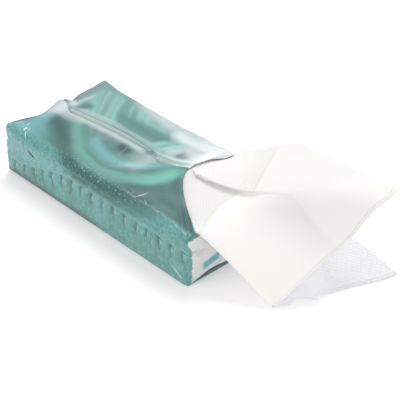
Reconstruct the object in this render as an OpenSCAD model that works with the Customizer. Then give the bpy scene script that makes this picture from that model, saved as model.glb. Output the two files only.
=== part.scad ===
// Pocket pack of folded paper tissues: a printed film wrap with gathered long
// walls, the tissues stacked in it, and one tissue drawn halfway out of the
// mouth. Lengths are in millimetres. The origin is the centre of the pack's
// flat bottom, +X points out of the mouth end, +Y to the far long side, +Z up.

/* [Tissues] */
// Side of a square tissue when it is spread flat
sheet_side = 202; // [190:1:214]
// Thickness of one layer of tissue, all its plies together
layer_t = 0.18; // [0.16:0.01:0.19]
// Air between the two layers of the first fold
layer_gap = 0.1; // [0.06:0.01:0.12]
// Air between layers that the later folds lay on each other
fold_gap = 0.08; // [0.06:0.01:0.12]
// Air between two tissues of the stack
stack_gap = 0.05; // [0.03:0.01:0.1]

/* [Film wrap] */
// Thickness of the film
film_t = 0.3; // [0.2:0.05:0.35]
// Free room between the stack and a long wall
side_room = 1; // [0.9:0.1:2]
// Free room between the stack and an end panel
end_room = 4.2; // [3:0.1:6]
// Free room above the topmost tissue
top_room = 0.25; // [0.2:0.05:1]
// Radius of the long top edges where it is largest
top_edge_r = 3.2; // [2.6:0.1:3.3]
// Height of the bevel along the long bottom edges
bottom_edge = 0.4; // [0.3:0.1:1]
// How far the corners of an end panel are drawn in
end_inset = 0.8; // [0.4:0.1:1.2]
// How far a long wall swells at half its height
wall_swell = 0.4; // [0.2:0.1:1]
// Width of the lap seam along the inside of the bottom
seam_w = 9; // [6:1:14]

/* [Gathers of the long walls] */
// Distance from one gather to the next
gather_pitch = 6.2; // [5:0.1:8]
// Depth of the groove between two gathers
gather_depth = 0.8; // [0.3:0.1:0.9]
// Height above the bottom at which the gathers end
gather_low = 4; // [3:0.5:5]
// Depth of the gathers' upper ends below the top, from the middle to the open end
gather_drop_open = 6.5; // [5:0.1:8]
// Depth of the gathers' upper ends below the top, at the closed end
gather_drop_closed = 14.5; // [9:0.5:15]

/* [Slit and mouth] */
// Distance of the lengthwise slit's right end from the middle of the pack
slit_y = 3; // [1:0.5:4]
// Distance from the closed end to the start of the slit
slit_start = 8.6; // [5:0.1:12]
// Length of the slit
slit_length = 52.4; // [40:0.1:56]
// Widest gap between the lips of the slit
slit_gap = 3; // [1.5:0.1:3.5]
// Height of the ridge along the near lip
lip_rise = 1.4; // [0.8:0.1:2.4]
// Height of the far lip
far_lip_rise = 0.9; // [0.5:0.1:1.4]
// How far the mouth is cut back from the open end
mouth_depth = 35; // [33:0.5:38]
// Distance of the deepest point of the mouth from the middle
mouth_y = 8; // [5:0.5:10]
// Distance of the mouth's near corner from the near wall
mouth_near_rim = 5.3; // [4.5:0.1:5.6]
// Width of the film left beside the mouth along the far wall
mouth_far_rim = 2.2; // [2:0.1:2.4]
// How far the free far corner of the mouth stands up
mouth_corner_rise = 1.9; // [1.5:0.1:3]
// How far the closed end's upper rim is drawn in at its two hollows
end_hollow = 2.4; // [1:0.1:3]
// How far the top edge of the open end's panel sags
sill_drop = 2.6; // [2.5:0.1:4]

/* [Drawn tissue] */
// How far the lengthwise fold reaches past the open end
fold_reach = 31.5; // [26:0.5:36]
// How much further than the fold the far corners reach
corner_lead = 16.5; // [10:0.5:20]
// Height of the upper leaf's far edge above the floor
leaf_height = 40; // [34:1:46]
// Distance of the leaves' far corners from the middle
leaf_far_y = 34; // [31:0.5:38]
// Radius of the lengthwise fold that joins the two leaves
fold_r = 0.45; // [0.42:0.01:0.48]
// Gap between the drawn tissue and what it lies on
rest_gap = 0.15; // [0.1:0.01:0.2]

/* [Hidden] */
$fn = 32;
film_colour = "mediumaquamarine";
paper_colour = "whitesmoke";

// Folded tissues: a first fold in half across the length, then two folds in
// half across the width, so that a tissue is four strands of two layers.
stack_count = 9;
tissue_l = sheet_side / 2;
tissue_w = sheet_side / 4;
strand_t = 2 * layer_t + layer_gap;
strand_step = strand_t + fold_gap;
tissue_t = 4 * strand_t + 3 * fold_gap;

// Heights in the pack, from the bottom up
stack_z = 2 * film_t + stack_gap;
stack_step = tissue_t + stack_gap;
stack_top = stack_z + stack_count * stack_step;
leaf_t = 4 * layer_t;
tail_low = stack_top + rest_gap + leaf_t / 2;
tail_high = tail_low + 2 * fold_r;
pack_h = tail_high + leaf_t / 2 + top_room + film_t;

// Outer half sizes of the wrap
half_w = tissue_w / 2 + side_room + film_t;
half_l = tissue_l / 2 + end_room + film_t;

// Rings of the wrap along the length, four to each gather
ring_edge = 0.8;
ring_span = 2 * (half_l - ring_edge);
gather_count = round(ring_span / gather_pitch);
rings_per_gather = 4;
ring_last = gather_count * rings_per_gather;
groove_shape = [0, 0.3, 1, 0.3];
// Points of one ring: the top from a lip to the edge, the edge, the wall
top_points = 6;
wall_points = 6;
edge_points = 2;
side_points = top_points + edge_points + wall_points + 1;
ring_points = 2 * side_points;
// Rows that close the left end, and rows of the panel at the open end
cap_shrink = [0.25, 0.65, 0.97];
cap_rows = len(cap_shrink);
panel_rows = 4;
film_rows = cap_rows + ring_last + 1 + panel_rows;
// The panel at the open end hangs between the two long top edges
panel_first = top_points;
panel_last = ring_points - 1 - top_points;

// Small offsets in the curves below are given in this unit, 1 mm at this size
u = half_l / 55;
turn = 360;

// Lips of the slit and edges of the mouth
closed_gap = 0.8 * u;
slit_x0 = -half_l + slit_start;
slit_x1 = slit_x0 + slit_length;
mouth_x = half_l - mouth_depth;
mouth_curve = 0.65;

function ramp(t) = let (c = max(0, min(1, t))) c * c * (3 - 2 * c);
function lerp(a, b, t) = a + (b - a) * t;
function unit(v) = v / max(norm(v), 0.000001);
function bump(d, spread) = exp(-pow(d / spread, 2));

// A smooth curve through stations [place, value], read at a place
function bend_at(x, a, b, c, d) =
    let (
        run = c[0] - b[0],
        t = (x - b[0]) / run,
        r = 1 - t,
        slope_b = (c[1] - a[1]) / (c[0] - a[0]) * run,
        slope_c = (d[1] - b[1]) / (d[0] - b[0]) * run
    )
    b[1] * r * r * (1 + 2 * t) + c[1] * t * t * (3 - 2 * t) + slope_b * t * r * r - slope_c * t * t * r;
function along(x, stations, n = 0) =
    let (last = len(stations) - 1)
    x <= stations[0][0] ? stations[0][1]
    : x >= stations[last][0] ? stations[last][1]
    : x > stations[n + 1][0] ? along(x, stations, n + 1)
    : bend_at(x, stations[max(0, n - 1)], stations[n], stations[n + 1], stations[min(last, n + 2)]);

// Course of the slit, and of the two edges of the mouth beyond it
function ring_x(k) = -half_l + ring_edge + ring_span * k / ring_last;
mouth_ring = ceil((mouth_x + half_l - ring_edge) * ring_last / ring_span);
slit_first = ceil((slit_x0 + half_l - ring_edge) * ring_last / ring_span);
slit_last = floor((slit_x1 + half_l - ring_edge) * ring_last / ring_span);
function slit_at(share) = slit_x0 + share * slit_length;
function mouth_at(share) = mouth_x + share * mouth_depth;
seam_stations = [
    [-half_l, 1.2 * slit_y], [lerp(-half_l, slit_x0, 0.47), slit_y], [slit_x0, 0.4 * slit_y],
    [slit_at(0.08), 0.17 * slit_y], [slit_at(0.22), 0.4 * slit_y], [slit_at(0.5), 0.9 * slit_y],
    [slit_at(0.7), 1.1 * slit_y], [slit_at(0.88), slit_y], [slit_x1, slit_y],
    [lerp(slit_x1, mouth_x, 0.57), lerp(slit_y, mouth_y, 0.32)], [mouth_x, mouth_y]
];
near_rise_stations = [
    [-half_l, 0.5], [lerp(-half_l, slit_x0, 0.6), 0.86], [slit_at(0.08), 1], [slit_at(0.5), 1],
    [slit_at(0.92), 0.79], [lerp(slit_x1, mouth_x, 0.43), 0.5], [mouth_x, 0.29], [mouth_at(0.23), 0.14],
    [half_l, -0.07]
];
far_rise_stations = [
    [-half_l, 0.33], [slit_x0, 1], [slit_at(0.5), 1], [slit_at(0.92), 0.9],
    [lerp(slit_x1, mouth_x, 0.43), 0.67], [mouth_x, 0.2]
];
corner_rise_stations = [
    [mouth_x, 0], [mouth_at(0.06), 0.18], [mouth_at(0.17), 0.53], [mouth_at(0.22), 1],
    [mouth_at(0.27), 0.63], [mouth_at(0.34), 0.05]
];
far_edge_stations = [
    [mouth_x, 0], [mouth_at(0.02), 0.26], [mouth_at(0.046), 0.49], [mouth_at(0.1), 0.63],
    [mouth_at(0.17), 0.75], [mouth_at(0.21), 0.92], [mouth_at(0.246), 1]
];
function seam_y(x) = along(x, seam_stations);
function lip_gap(x) =
    let (t = max(0, min(1, (x - slit_x0) / slit_length)))
    lerp(closed_gap, slit_gap, sqrt(min(1, 12 * t)) * (1 - pow(t, 4)) * (1 - ramp((t - 0.68) / 0.32)));
function mouth_t(x) = max(0, min(1, (x - mouth_x) / (ring_x(ring_last) - mouth_x)));
function near_lip_y(x) =
    lerp(seam_y(x) - lip_gap(x) / 2, -(half_w - mouth_near_rim), pow(mouth_t(x), mouth_curve));
function far_lip_y(x) =
    x <= mouth_x ? seam_y(x) + lip_gap(x) / 2
    : lerp(mouth_y + closed_gap / 2, half_w - mouth_far_rim, along(x, far_edge_stations));
function near_lip_z(x) = pack_h + lip_rise * along(x, near_rise_stations);
function far_lip_z(x) =
    pack_h + far_lip_rise * along(x, far_rise_stations) * (1 - ramp((x - mouth_x) / (8 * u)))
    + mouth_corner_rise * along(x, corner_rise_stations);

// One side of the wrap at ring k, from the lip over the top edge and down the
// wall to the bottom. side is -1 for the near side and 1 for the far side.
end_draw_run = 4 * u;
closed_edge_run = 14 * u;
near_edge_from = 35 * u;
near_edge_run = 18 * u;
far_edge_from = 12 * u;
far_edge_run = 12 * u;
gather_rise_from = 6 * u;
gather_rise_run = 38 * u;
gather_lip = 0.8 * u;
top_bow = 1.6;
function end_draw(x) = end_inset * pow(1 - min(1, (half_l - x) / end_draw_run), 2);
function edge_r(x, side) =
    let (closed = top_edge_r * lerp(0.4, 1, ramp((x + half_l) / closed_edge_run)))
    side < 0 ? lerp(closed, 0.75 * top_edge_r, ramp((x - near_edge_from) / near_edge_run))
    : lerp(0.8 * closed, 0.4 * top_edge_r, ramp((x - far_edge_from) / far_edge_run));
function groove(k) =
    groove_shape[k % rings_per_gather] * (0.8 + 0.2 * sin(131 * floor(k / rings_per_gather)));
function gather_high(x) =
    pack_h - lerp(gather_drop_closed, gather_drop_open,
        ramp((x + half_l - gather_rise_from) / gather_rise_run));
function wall_level(x, side, n) = [
    pack_h - edge_r(x, side), gather_high(x) + gather_lip, gather_high(x),
    lerp(gather_high(x), gather_low, 0.6), gather_low, bottom_edge
][n];
function wall_groove(n) = [0, 0, 1, 0.6, 0, 0][n];
function swell(z) = wall_swell * (1 - pow(abs(2 * z / pack_h - 1), 3));

// The closed end's upper rim is drawn in at a wide hollow and at a narrow notch
drawn_in_run = 9 * u;
hollow_y = -half_w / 2;
hollow_spread = 6.5 * u;
notch_y = 7 * u;
notch_spread = 2.6 * u;
function drawn_in(p) =
    let (
        share = (1 - ramp((p.x + half_l) / drawn_in_run)) * ramp(2 * p.z / pack_h - 1),
        wide = bump(p.y - hollow_y, hollow_spread),
        notch = bump(p.y - notch_y, notch_spread)
    )
    p + end_hollow * share * [0.9 * wide + notch, 0, -0.2 * wide - 0.35 * notch];
function side_line(k, side) =
    let (
        x = ring_x(k),
        w = half_w - end_draw(x),
        r = edge_r(x, side),
        lip_y = side < 0 ? near_lip_y(x) : far_lip_y(x),
        lip_z = side < 0 ? near_lip_z(x) : far_lip_z(x),
        edge_y = side * (w - r)
    )
    [for (p = concat(
        [for (n = [0 : top_points - 1])
            let (t = n / (top_points - 1))
            [x, lerp(lip_y, edge_y, t), lerp(lip_z, pack_h, 1 - pow(1 - t, top_bow))]],
        [for (n = [1 : edge_points])
            let (a = turn / 4 * n / (edge_points + 1))
            [x, side * (w - r + r * sin(a)), pack_h - r + r * cos(a)]],
        [for (n = [0 : wall_points - 1])
            let (z = wall_level(x, side, n))
            [x, side * (w + swell(z) - gather_depth * groove(k) * wall_groove(n)), z]],
        [[x, side * (w - bottom_edge), 0]]
    )) drawn_in(p)];
function turned(line) = [for (n = [len(line) - 1 : -1 : 0]) line[n]];
function ring(k) = concat(side_line(k, -1), turned(side_line(k, 1)));
rings = [for (k = [0 : ring_last]) ring(k)];

// Rows of the panel at the open end, from the last ring up to its free edge
sill_corner = 0.1;
cap_bulge = 0.3;
cap_centre = [-half_l, 0, pack_h / 2];
panel_share = [0.02, 0.04, 0.06, 0.09, 0.12, 0.15, 0.18, 0.22, 0.28];
function side_share(j) = j < top_points ? 0 : panel_share[j - top_points];
function panel_s(j) = j < side_points ? side_share(j) : 1 - side_share(ring_points - 1 - j);
function sill_point(j) =
    let (
        s = panel_s(j),
        low = rings[ring_last][panel_first],
        high = rings[ring_last][panel_last],
        drop = ramp(min(s, 1 - s) / sill_corner)
    )
    [half_l, lerp(low.y, high.y, s), lerp(low.z, pack_h - sill_drop, drop)];
function panel_point(m, j) =
    let (t = m / panel_rows, p = lerp(rings[ring_last][j], sill_point(j), t))
    [half_l - ring_edge * pow(1 - t, 2), p.y, p.z];
function cap_point(i, j) =
    let (f = cap_shrink[i], p = lerp(cap_centre, rings[0][j], f))
    [-half_l + ring_edge * cap_bulge * pow(f, 4), p.y, p.z];
film_out = [for (i = [0 : film_rows - 1])
    [for (j = [0 : ring_points - 1])
        i < cap_rows ? cap_point(i, j)
        : i <= cap_rows + ring_last ? rings[i - cap_rows][j]
        : panel_point(i - cap_rows - ring_last, j)]];

// Which cells of the film are there: the slit, the mouth and the air beside
// the end panel are left out. Cell [i, j] lies between rows i and i + 1.
function in_slit(i) = i >= cap_rows + slit_first && i < cap_rows + slit_last;
function past_mouth(i) = i >= cap_rows + mouth_ring;
function in_panel(i) = i >= cap_rows + ring_last;
function has_cell(i, j) =
    i >= 0 && i < film_rows - 1
    && (in_panel(i) ? (j >= panel_first && j < panel_last)
        : j < ring_points - 1 ? true
        : !(in_slit(i) || past_mouth(i)));

// Normals by unit steps to the neighbours, so that uneven cells do no harm
function step_along(a, b, c) = unit(unit(b - a) + unit(c - b));
function film_normal(i, j) =
    let (
        wraps = has_cell(i, ring_points - 1) || has_cell(i - 1, ring_points - 1),
        low_j = in_panel(i - 1) && i > 0 ? panel_first : 0,
        high_j = in_panel(i - 1) && i > 0 ? panel_last : ring_points - 1,
        j0 = j > low_j ? j - 1 : wraps ? ring_points - 1 : j,
        j1 = j < high_j ? j + 1 : wraps ? 0 : j,
        on_panel = j >= panel_first && j <= panel_last,
        i1 = i < film_rows - 1 && (on_panel || i < cap_rows + ring_last) ? i + 1 : i,
        here = film_out[i][j],
        before = i > 0 ? film_out[i - 1][j] : cap_centre,
        tu = step_along(before, here, film_out[i1][j]),
        tv = step_along(film_out[i][j0], here, film_out[i][j1])
    )
    unit(cross(tv, tu));
film_in = [for (i = [0 : film_rows - 1])
    [for (j = [0 : ring_points - 1]) film_out[i][j] - film_t * film_normal(i, j)]];

// A sheet as a closed mesh: its outer grid, its inner grid and its cut edges
function flat_list(grid) = [for (row = grid) each row];
function two(a, b, c, d) = [[a, b, c], [a, c, d]];

module film_shell() {
    inner = film_rows * ring_points;
    function out_at(i, j) = i * ring_points + j % ring_points;
    function in_at(i, j) = inner + out_at(i, j);
    cells = [for (i = [0 : film_rows - 2]) for (j = [0 : ring_points - 1])
        if (has_cell(i, j)) [i, j]];
    skins = [for (c = cells)
        let (i = c[0], j = c[1])
        each concat(
            two(out_at(i, j), out_at(i + 1, j), out_at(i + 1, j + 1), out_at(i, j + 1)),
            two(in_at(i, j), in_at(i, j + 1), in_at(i + 1, j + 1), in_at(i + 1, j)))];
    edges = [for (c = cells)
        let (i = c[0], j = c[1], left = (j + ring_points - 1) % ring_points, right = (j + 1) % ring_points)
        each concat(
            i == 0 || has_cell(i - 1, j) ? []
                : two(out_at(i, j), out_at(i, j + 1), in_at(i, j + 1), in_at(i, j)),
            has_cell(i + 1, j) ? []
                : two(out_at(i + 1, j + 1), out_at(i + 1, j), in_at(i + 1, j), in_at(i + 1, j + 1)),
            has_cell(i, left) ? []
                : two(out_at(i + 1, j), out_at(i, j), in_at(i, j), in_at(i + 1, j)),
            has_cell(i, right) ? []
                : two(out_at(i, j + 1), out_at(i + 1, j + 1), in_at(i + 1, j + 1), in_at(i, j + 1)))];
    fan = [for (j = [0 : ring_points - 1])
        each [
            [2 * inner, out_at(0, j), out_at(0, j + 1)],
            [2 * inner + 1, in_at(0, j + 1), in_at(0, j)]]];
    polyhedron(
        points = concat(flat_list(film_out), flat_list(film_in),
            [cap_centre, cap_centre + [film_t, 0, 0]]),
        faces = concat(skins, edges, fan));
}

seam_inset = 2 * u;
module film_wrap() {
    color(film_colour) {
        film_shell();
        translate([-half_l + seam_inset, -seam_w / 2, film_t / 2])
            cube([2 * (half_l - seam_inset), seam_w, 1.5 * film_t]);
    }
}

// Drawn tissue. A row of it runs from the lower leaf's far edge to the fold
// along the near side and back to the upper leaf's far edge.
tail_share = 0.93;
tail_x = half_l + fold_reach - tissue_l * tail_share;
tail_y = tissue_w / 2 - 1.1 * u;
row_count = 40;
lower_points = 10;
bend_points = 5;
upper_points = 17;
// How far past the mouth's near edge the upper leaf stays flat
under_lip = 1.6 * u;
// How far inside the mouth's far edge the lower leaf crosses the sill
over_sill = 5.1 * u;
sheet_points = lower_points + bend_points + upper_points;
fold_end_y = -11.5 * u;
fold_end = [half_l + fold_reach, fold_end_y, fold_r + leaf_t / 2 + rest_gap];
corner_high = [half_l + fold_reach + corner_lead, leaf_far_y - 1.5 * u, leaf_height];
corner_low = [half_l + fold_reach + corner_lead, leaf_far_y + 3 * u, leaf_t / 2 + rest_gap];

// A smooth course through named stations, looked up by its share from 0 to 1
function course(stations, t) =
    let (
        last = len(stations) - 1,
        n = min(last - 1, floor(t * last)),
        f = t * last - n,
        a = stations[max(0, n - 1)],
        b = stations[n],
        c = stations[n + 1],
        d = stations[min(last, n + 2)]
    )
    b + f * ((c - a) + f * ((2 * a - 5 * b + 4 * c - d) + f * (3 * b - a - 3 * c + d))) / 2;
bend_z = tail_low + fold_r;
sill_fold = [half_l, -half_w + mouth_near_rim + 2.1 * u, bend_z];
fold_stations = [
    [tail_x, -tail_y + fold_r, bend_z],
    [lerp(tail_x, mouth_x, 0.5), -tail_y + fold_r, bend_z],
    [mouth_x, -tail_y + fold_r, bend_z],
    [mouth_at(0.29), -tail_y + u, bend_z],
    [mouth_at(0.64), -half_w + mouth_near_rim - 0.4 * u, bend_z],
    sill_fold,
    lerp(sill_fold, fold_end, 0.34) + [0, 0, 0.8 * u],
    lerp(sill_fold, fold_end, 0.67) + [0, 0, 0.4 * u],
    fold_end
];
upper_stations = [
    [tail_x, tail_y, tail_high],
    [lerp(tail_x, mouth_x, 0.5), tail_y, tail_high],
    [mouth_x - u, tail_y - u, tail_high],
    [mouth_at(0.17), half_w - mouth_far_rim - 2.3 * u, tail_high + 0.3 * u],
    [mouth_at(0.37), half_w - 2 * u, lerp(tail_high, leaf_height, 0.38)],
    [mouth_at(0.71), half_w - 0.5 * u, lerp(tail_high, leaf_height, 0.75)],
    [half_l + 2 * u, half_w + 2.5 * u, leaf_height - 0.5 * u],
    [half_l + 0.8 * fold_reach, corner_high.y - 1.5 * u, leaf_height + 0.5 * u],
    corner_high
];
lower_stations = [
    [tail_x, tail_y, tail_low],
    [lerp(tail_x, mouth_x, 0.5), tail_y, tail_low],
    [mouth_x - u, tail_y - u, tail_low],
    [mouth_at(0.23), tail_y - 2.5 * u, tail_low],
    [mouth_at(0.6), half_w - mouth_far_rim - 3.2 * u, tail_low],
    [half_l + 0.5 * u, half_w - mouth_far_rim - over_sill, tail_low],
    [half_l + 0.48 * fold_reach, half_w, tail_low * 0.66],
    [half_l + 0.98 * fold_reach, leaf_far_y, tail_low * 0.36],
    corner_low
];

// The upper leaf has a tuck between a near and a far lobe beside the mouth, and
// rises in a soft step further out
valley_stations = [
    [mouth_x, 6.6 * u], [mouth_at(0.23), 5.6 * u], [mouth_at(0.46), 5.4 * u], [mouth_at(0.8), 6.4 * u],
    [half_l + u, 7.6 * u], [half_l + 15 * u, 12 * u]
];
tuck_stations = [
    [mouth_x, 0.9 * u], [mouth_at(0.23), 1.3 * u], [mouth_at(0.46), 2.2 * u], [mouth_at(0.8), 4 * u],
    [half_l + u, 5.8 * u], [half_l + 15 * u, 9 * u]
];
free_end_bow = 3.2 * u;
opens_from = half_l - 5 * u;
opens_run = 24 * u;
step_run = 45 * u;
leaves_from = mouth_x + u;
leaves_run = 6 * u;
lobe_high = u;
lobe_far = 8 * u;
lobe_spread = 6.5 * u;
lobe_from = mouth_x + 3 * u;
lobe_run = 9 * u;
lobe_until = half_l - 7 * u;
lobe_fade = 22 * u;
held_lean = 1.35;
function lobes(x, away) =
    lobe_high * ramp((x - lobe_from) / lobe_run) * (1 - ramp((x - lobe_until) / lobe_fade))
    * (0.9 * ramp((away + u) / (3 * u)) * exp(-max(0, away) / (14 * u))
        + bump(away - lobe_far, lobe_spread) - 0.4 * bump(away + 2 * u, 2.5 * u));
function upper_point(start, far, v, flat_to, out) =
    let (
        x = lerp(start.x, far.x, v) + free_end_bow * out * sin(turn / 2 * v),
        y = lerp(start.y, far.y, v),
        steep = lerp(0.42, 0.58, ramp((x - opens_from) / step_run)),
        open_z = lerp(start.z, far.z, along(v, [
            [0, 0], [steep - 0.22, steep * 0.38], [steep, steep * 0.92], [steep + 0.14, steep + 0.16], [1, 1]])),
        valley = along(x, valley_stations),
        tuck_v = max(flat_to + 0.05, min(0.85, (valley - start.y) / (far.y - start.y))),
        tuck_z = max(start.z, min(tail_low + along(x, tuck_stations), far.z)),
        lipped = along(v, [[flat_to, start.z], [tuck_v, tuck_z], [1, far.z]]),
        leaving = ramp((x - leaves_from) / leaves_run),
        held_z = lerp(lerp(start.z, far.z, pow(v, held_lean)), lipped, leaving)
    )
    [x, y, lerp(held_z, open_z, ramp((x - opens_from) / opens_run)) + lobes(x, y - valley)];
function lower_point(start, far, v, lean) =
    [lerp(start.x, far.x, v), lerp(start.y, far.y, v), lerp(start.z, far.z, pow(v, lean))];
function sheet_row(r) =
    let (
        t = r / (row_count - 1),
        fold = course(fold_stations, t),
        c = [fold.x, fold.y, min(fold.z, bend_z)],
        high = course(upper_stations, t),
        low = course(lower_stations, t),
        out = ramp((c.x - half_l) / fold_reach),
        opened = ramp((c.x - half_l + 6 * u) / (14 * u)),
        rise_u = atan2(high.z - c.z - fold_r, high.y - c.y) * opened,
        rise_l = atan2(low.z - c.z + fold_r, low.y - c.y) * opened,
        from_a = rise_l - turn / 4,
        to_a = rise_u - 3 * turn / 4,
        bend = [for (n = [0 : bend_points - 1])
            let (a = lerp(from_a, to_a, n / (bend_points - 1)))
            c + fold_r * [0, cos(a), sin(a)]],
        first = bend[0],
        last = bend[bend_points - 1],
        lip_share = (near_lip_y(c.x) + under_lip - c.y) / (high.y - c.y),
        flat_to = c.x > half_l ? 0 : max(0, min(0.8, lip_share)),
        lower = [for (n = [1 : lower_points]) lower_point(first, low, n / lower_points, lerp(1, 0.8, out))],
        upper = [for (n = [1 : upper_points]) upper_point(last, high, n / upper_points, flat_to, out)]
    )
    concat(turned(lower), bend, upper);
sheet_mid = [for (r = [0 : row_count - 1]) sheet_row(r)];
function sheet_normal(i, j) =
    let (
        here = sheet_mid[i][j],
        tu = step_along(sheet_mid[max(0, i - 1)][j], here, sheet_mid[min(row_count - 1, i + 1)][j]),
        tv = step_along(sheet_mid[i][max(0, j - 1)], here, sheet_mid[i][min(sheet_points - 1, j + 1)])
    )
    unit(cross(tu, tv));
function sheet_skin(side) =
    [for (i = [0 : row_count - 1])
        [for (j = [0 : sheet_points - 1])
            sheet_mid[i][j] + side * leaf_t / 2 * sheet_normal(i, j)]];

module tissue_drawn() {
    inner = row_count * sheet_points;
    function out_at(i, j) = i * sheet_points + j;
    function in_at(i, j) = inner + out_at(i, j);
    last_i = row_count - 1;
    last_j = sheet_points - 1;
    skins = [for (i = [0 : last_i - 1]) for (j = [0 : last_j - 1])
        each concat(
            two(out_at(i, j), out_at(i, j + 1), out_at(i + 1, j + 1), out_at(i + 1, j)),
            two(in_at(i, j), in_at(i + 1, j), in_at(i + 1, j + 1), in_at(i, j + 1)))];
    long_edges = [for (i = [0 : last_i - 1])
        each concat(
            two(out_at(i, 0), out_at(i + 1, 0), in_at(i + 1, 0), in_at(i, 0)),
            two(out_at(i + 1, last_j), out_at(i, last_j), in_at(i, last_j), in_at(i + 1, last_j)))];
    end_edges = [for (j = [0 : last_j - 1])
        each concat(
            two(out_at(0, j + 1), out_at(0, j), in_at(0, j), in_at(0, j + 1)),
            two(out_at(last_i, j), out_at(last_i, j + 1), in_at(last_i, j + 1), in_at(last_i, j)))];
    color(paper_colour)
        polyhedron(
            points = concat(flat_list(sheet_skin(1)), flat_list(sheet_skin(-1))),
            faces = concat(skins, long_edges, end_edges));
}

// Section of a folded tissue: four strands, two nested bends on the near side
// and one on the far side, where the last two strands end free.
near_bend_y = -tissue_w / 2 + 1.5 * strand_step + strand_t / 2;
far_bend_y = tissue_w / 2 - 0.5 * strand_step - strand_t / 2;

module half_ring(r, t, side) {
    intersection() {
        difference() {
            circle(r + t / 2);
            circle(r - t / 2);
        }
        translate([side < 0 ? -2 * (r + t) : 0, -2 * (r + t)]) square([2 * (r + t), 4 * (r + t)]);
    }
}

module fold_section(t, past_edge) {
    for (n = [0 : 3]) {
        far_end = n < 2 ? far_bend_y : tissue_w / 2 + past_edge;
        translate([near_bend_y, n * strand_step - t / 2]) square([far_end - near_bend_y, t]);
    }
    translate([near_bend_y, 1.5 * strand_step]) half_ring(1.5 * strand_step, t, -1);
    translate([near_bend_y, 1.5 * strand_step]) half_ring(0.5 * strand_step, t, -1);
    translate([far_bend_y, 0.5 * strand_step]) half_ring(0.5 * strand_step, t, 1);
}

module folded_tissue(index) {
    color(paper_colour)
        translate([-tissue_l / 2, 0, stack_z + strand_t / 2 + index * stack_step])
            rotate([90, 0, 90])
                difference() {
                    linear_extrude(tissue_l) fold_section(strand_t, 0);
                    translate([0, 0, layer_t]) linear_extrude(tissue_l) fold_section(layer_gap, 1);
                }
}

module tissue_1() { folded_tissue(0); }
module tissue_2() { folded_tissue(1); }
module tissue_3() { folded_tissue(2); }
module tissue_4() { folded_tissue(3); }
module tissue_5() { folded_tissue(4); }
module tissue_6() { folded_tissue(5); }
module tissue_7() { folded_tissue(6); }
module tissue_8() { folded_tissue(7); }
module tissue_9() { folded_tissue(8); }

film_wrap();
tissue_drawn();
tissue_1();
tissue_2();
tissue_3();
tissue_4();
tissue_5();
tissue_6();
tissue_7();
tissue_8();
tissue_9();
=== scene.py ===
"""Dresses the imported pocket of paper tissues: its printed film wrap, the drawn tissue and the stack inside.

Lengths are worked out in millimetres and written to the meshes in metres. +X points out of the open end,
+Y to the far long side and +Z up, with the origin at the centre of the wrap's flat bottom.
"""
from __future__ import annotations

import logging
import math
from dataclasses import dataclass, field
from enum import Enum
from typing import Sequence

import bmesh
import bpy
from mathutils import Matrix, Vector, noise


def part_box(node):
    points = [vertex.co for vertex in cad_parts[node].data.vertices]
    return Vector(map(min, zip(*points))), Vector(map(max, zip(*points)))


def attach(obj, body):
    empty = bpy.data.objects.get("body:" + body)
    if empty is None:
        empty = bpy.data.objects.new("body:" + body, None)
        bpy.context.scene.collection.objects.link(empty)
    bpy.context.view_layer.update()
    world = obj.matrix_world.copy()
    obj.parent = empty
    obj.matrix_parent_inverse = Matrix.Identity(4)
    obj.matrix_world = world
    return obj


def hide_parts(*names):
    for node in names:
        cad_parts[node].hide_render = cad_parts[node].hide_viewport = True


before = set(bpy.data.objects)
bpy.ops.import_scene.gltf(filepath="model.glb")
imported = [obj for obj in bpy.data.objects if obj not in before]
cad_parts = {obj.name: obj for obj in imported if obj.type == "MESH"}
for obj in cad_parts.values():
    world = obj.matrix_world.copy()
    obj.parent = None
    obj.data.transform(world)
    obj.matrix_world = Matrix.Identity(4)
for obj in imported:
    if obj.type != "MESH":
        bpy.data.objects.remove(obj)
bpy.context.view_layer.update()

LOG = logging.getLogger("tissue_pack")
MM = 0.001
SCALE_TO_METRES = Matrix.Scale(MM, 4)
# Millimetres that one unit of a piece's own unrolled coordinates stands for
UV_MM = 100.0
# Millimetres that one unit of the painted height over the gathers' upper ends stands for
OVER_MM = 10.0
# Width of the span, centred on 0, that a curve of the print can read and give
PATH_SPAN = 120.0
# Light that the film's sheen adds, and the share of its own colour that the lamps bring out
SHEEN = 0.03
LIT = 0.92
# Distance from one gather of the long walls to the next, in millimetres
GATHER_PITCH = 6.35

Colour = tuple[float, float, float]
Point = tuple[float, float, float]
Stations = Sequence[tuple[float, float]]


def ramp(t: float) -> float:
    """Eases from 0 to 1 while t goes from 0 to 1."""
    c = max(0.0, min(1.0, t))
    return c * c * (3 - 2 * c)


def lerp(a: float, b: float, t: float) -> float:
    """Goes from a to b while t goes from 0 to 1."""
    return a + (b - a) * t


def bump(distance: float, spread: float) -> float:
    """A soft bump of height 1 at distance 0."""
    return math.exp(-((distance / spread) ** 2))


def along(x: float, stations: Stations) -> float:
    """Reads a smooth curve through stations of place and value.

    Args:
        x: the place to read at.
        stations: places in rising order, each with its value.

    Returns:
        The value, which stays level beyond the first and the last station.
    """
    if x <= stations[0][0]:
        return stations[0][1]
    if x >= stations[-1][0]:
        return stations[-1][1]
    n = next(k for k in range(len(stations) - 1) if x <= stations[k + 1][0])
    before, after = stations[max(0, n - 1)], stations[min(len(stations) - 1, n + 2)]
    (x0, y0), (x1, y1) = stations[n], stations[n + 1]
    run = x1 - x0
    slope0 = (y1 - before[1]) / (x1 - before[0]) * run
    slope1 = (after[1] - y0) / (after[0] - x0) * run
    t = (x - x0) / run
    rest = 1 - t
    ends = y0 * rest * rest * (1 + 2 * t) + y1 * t * t * (3 - 2 * t)
    return ends + slope0 * t * rest * rest - slope1 * t * t * rest


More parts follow.
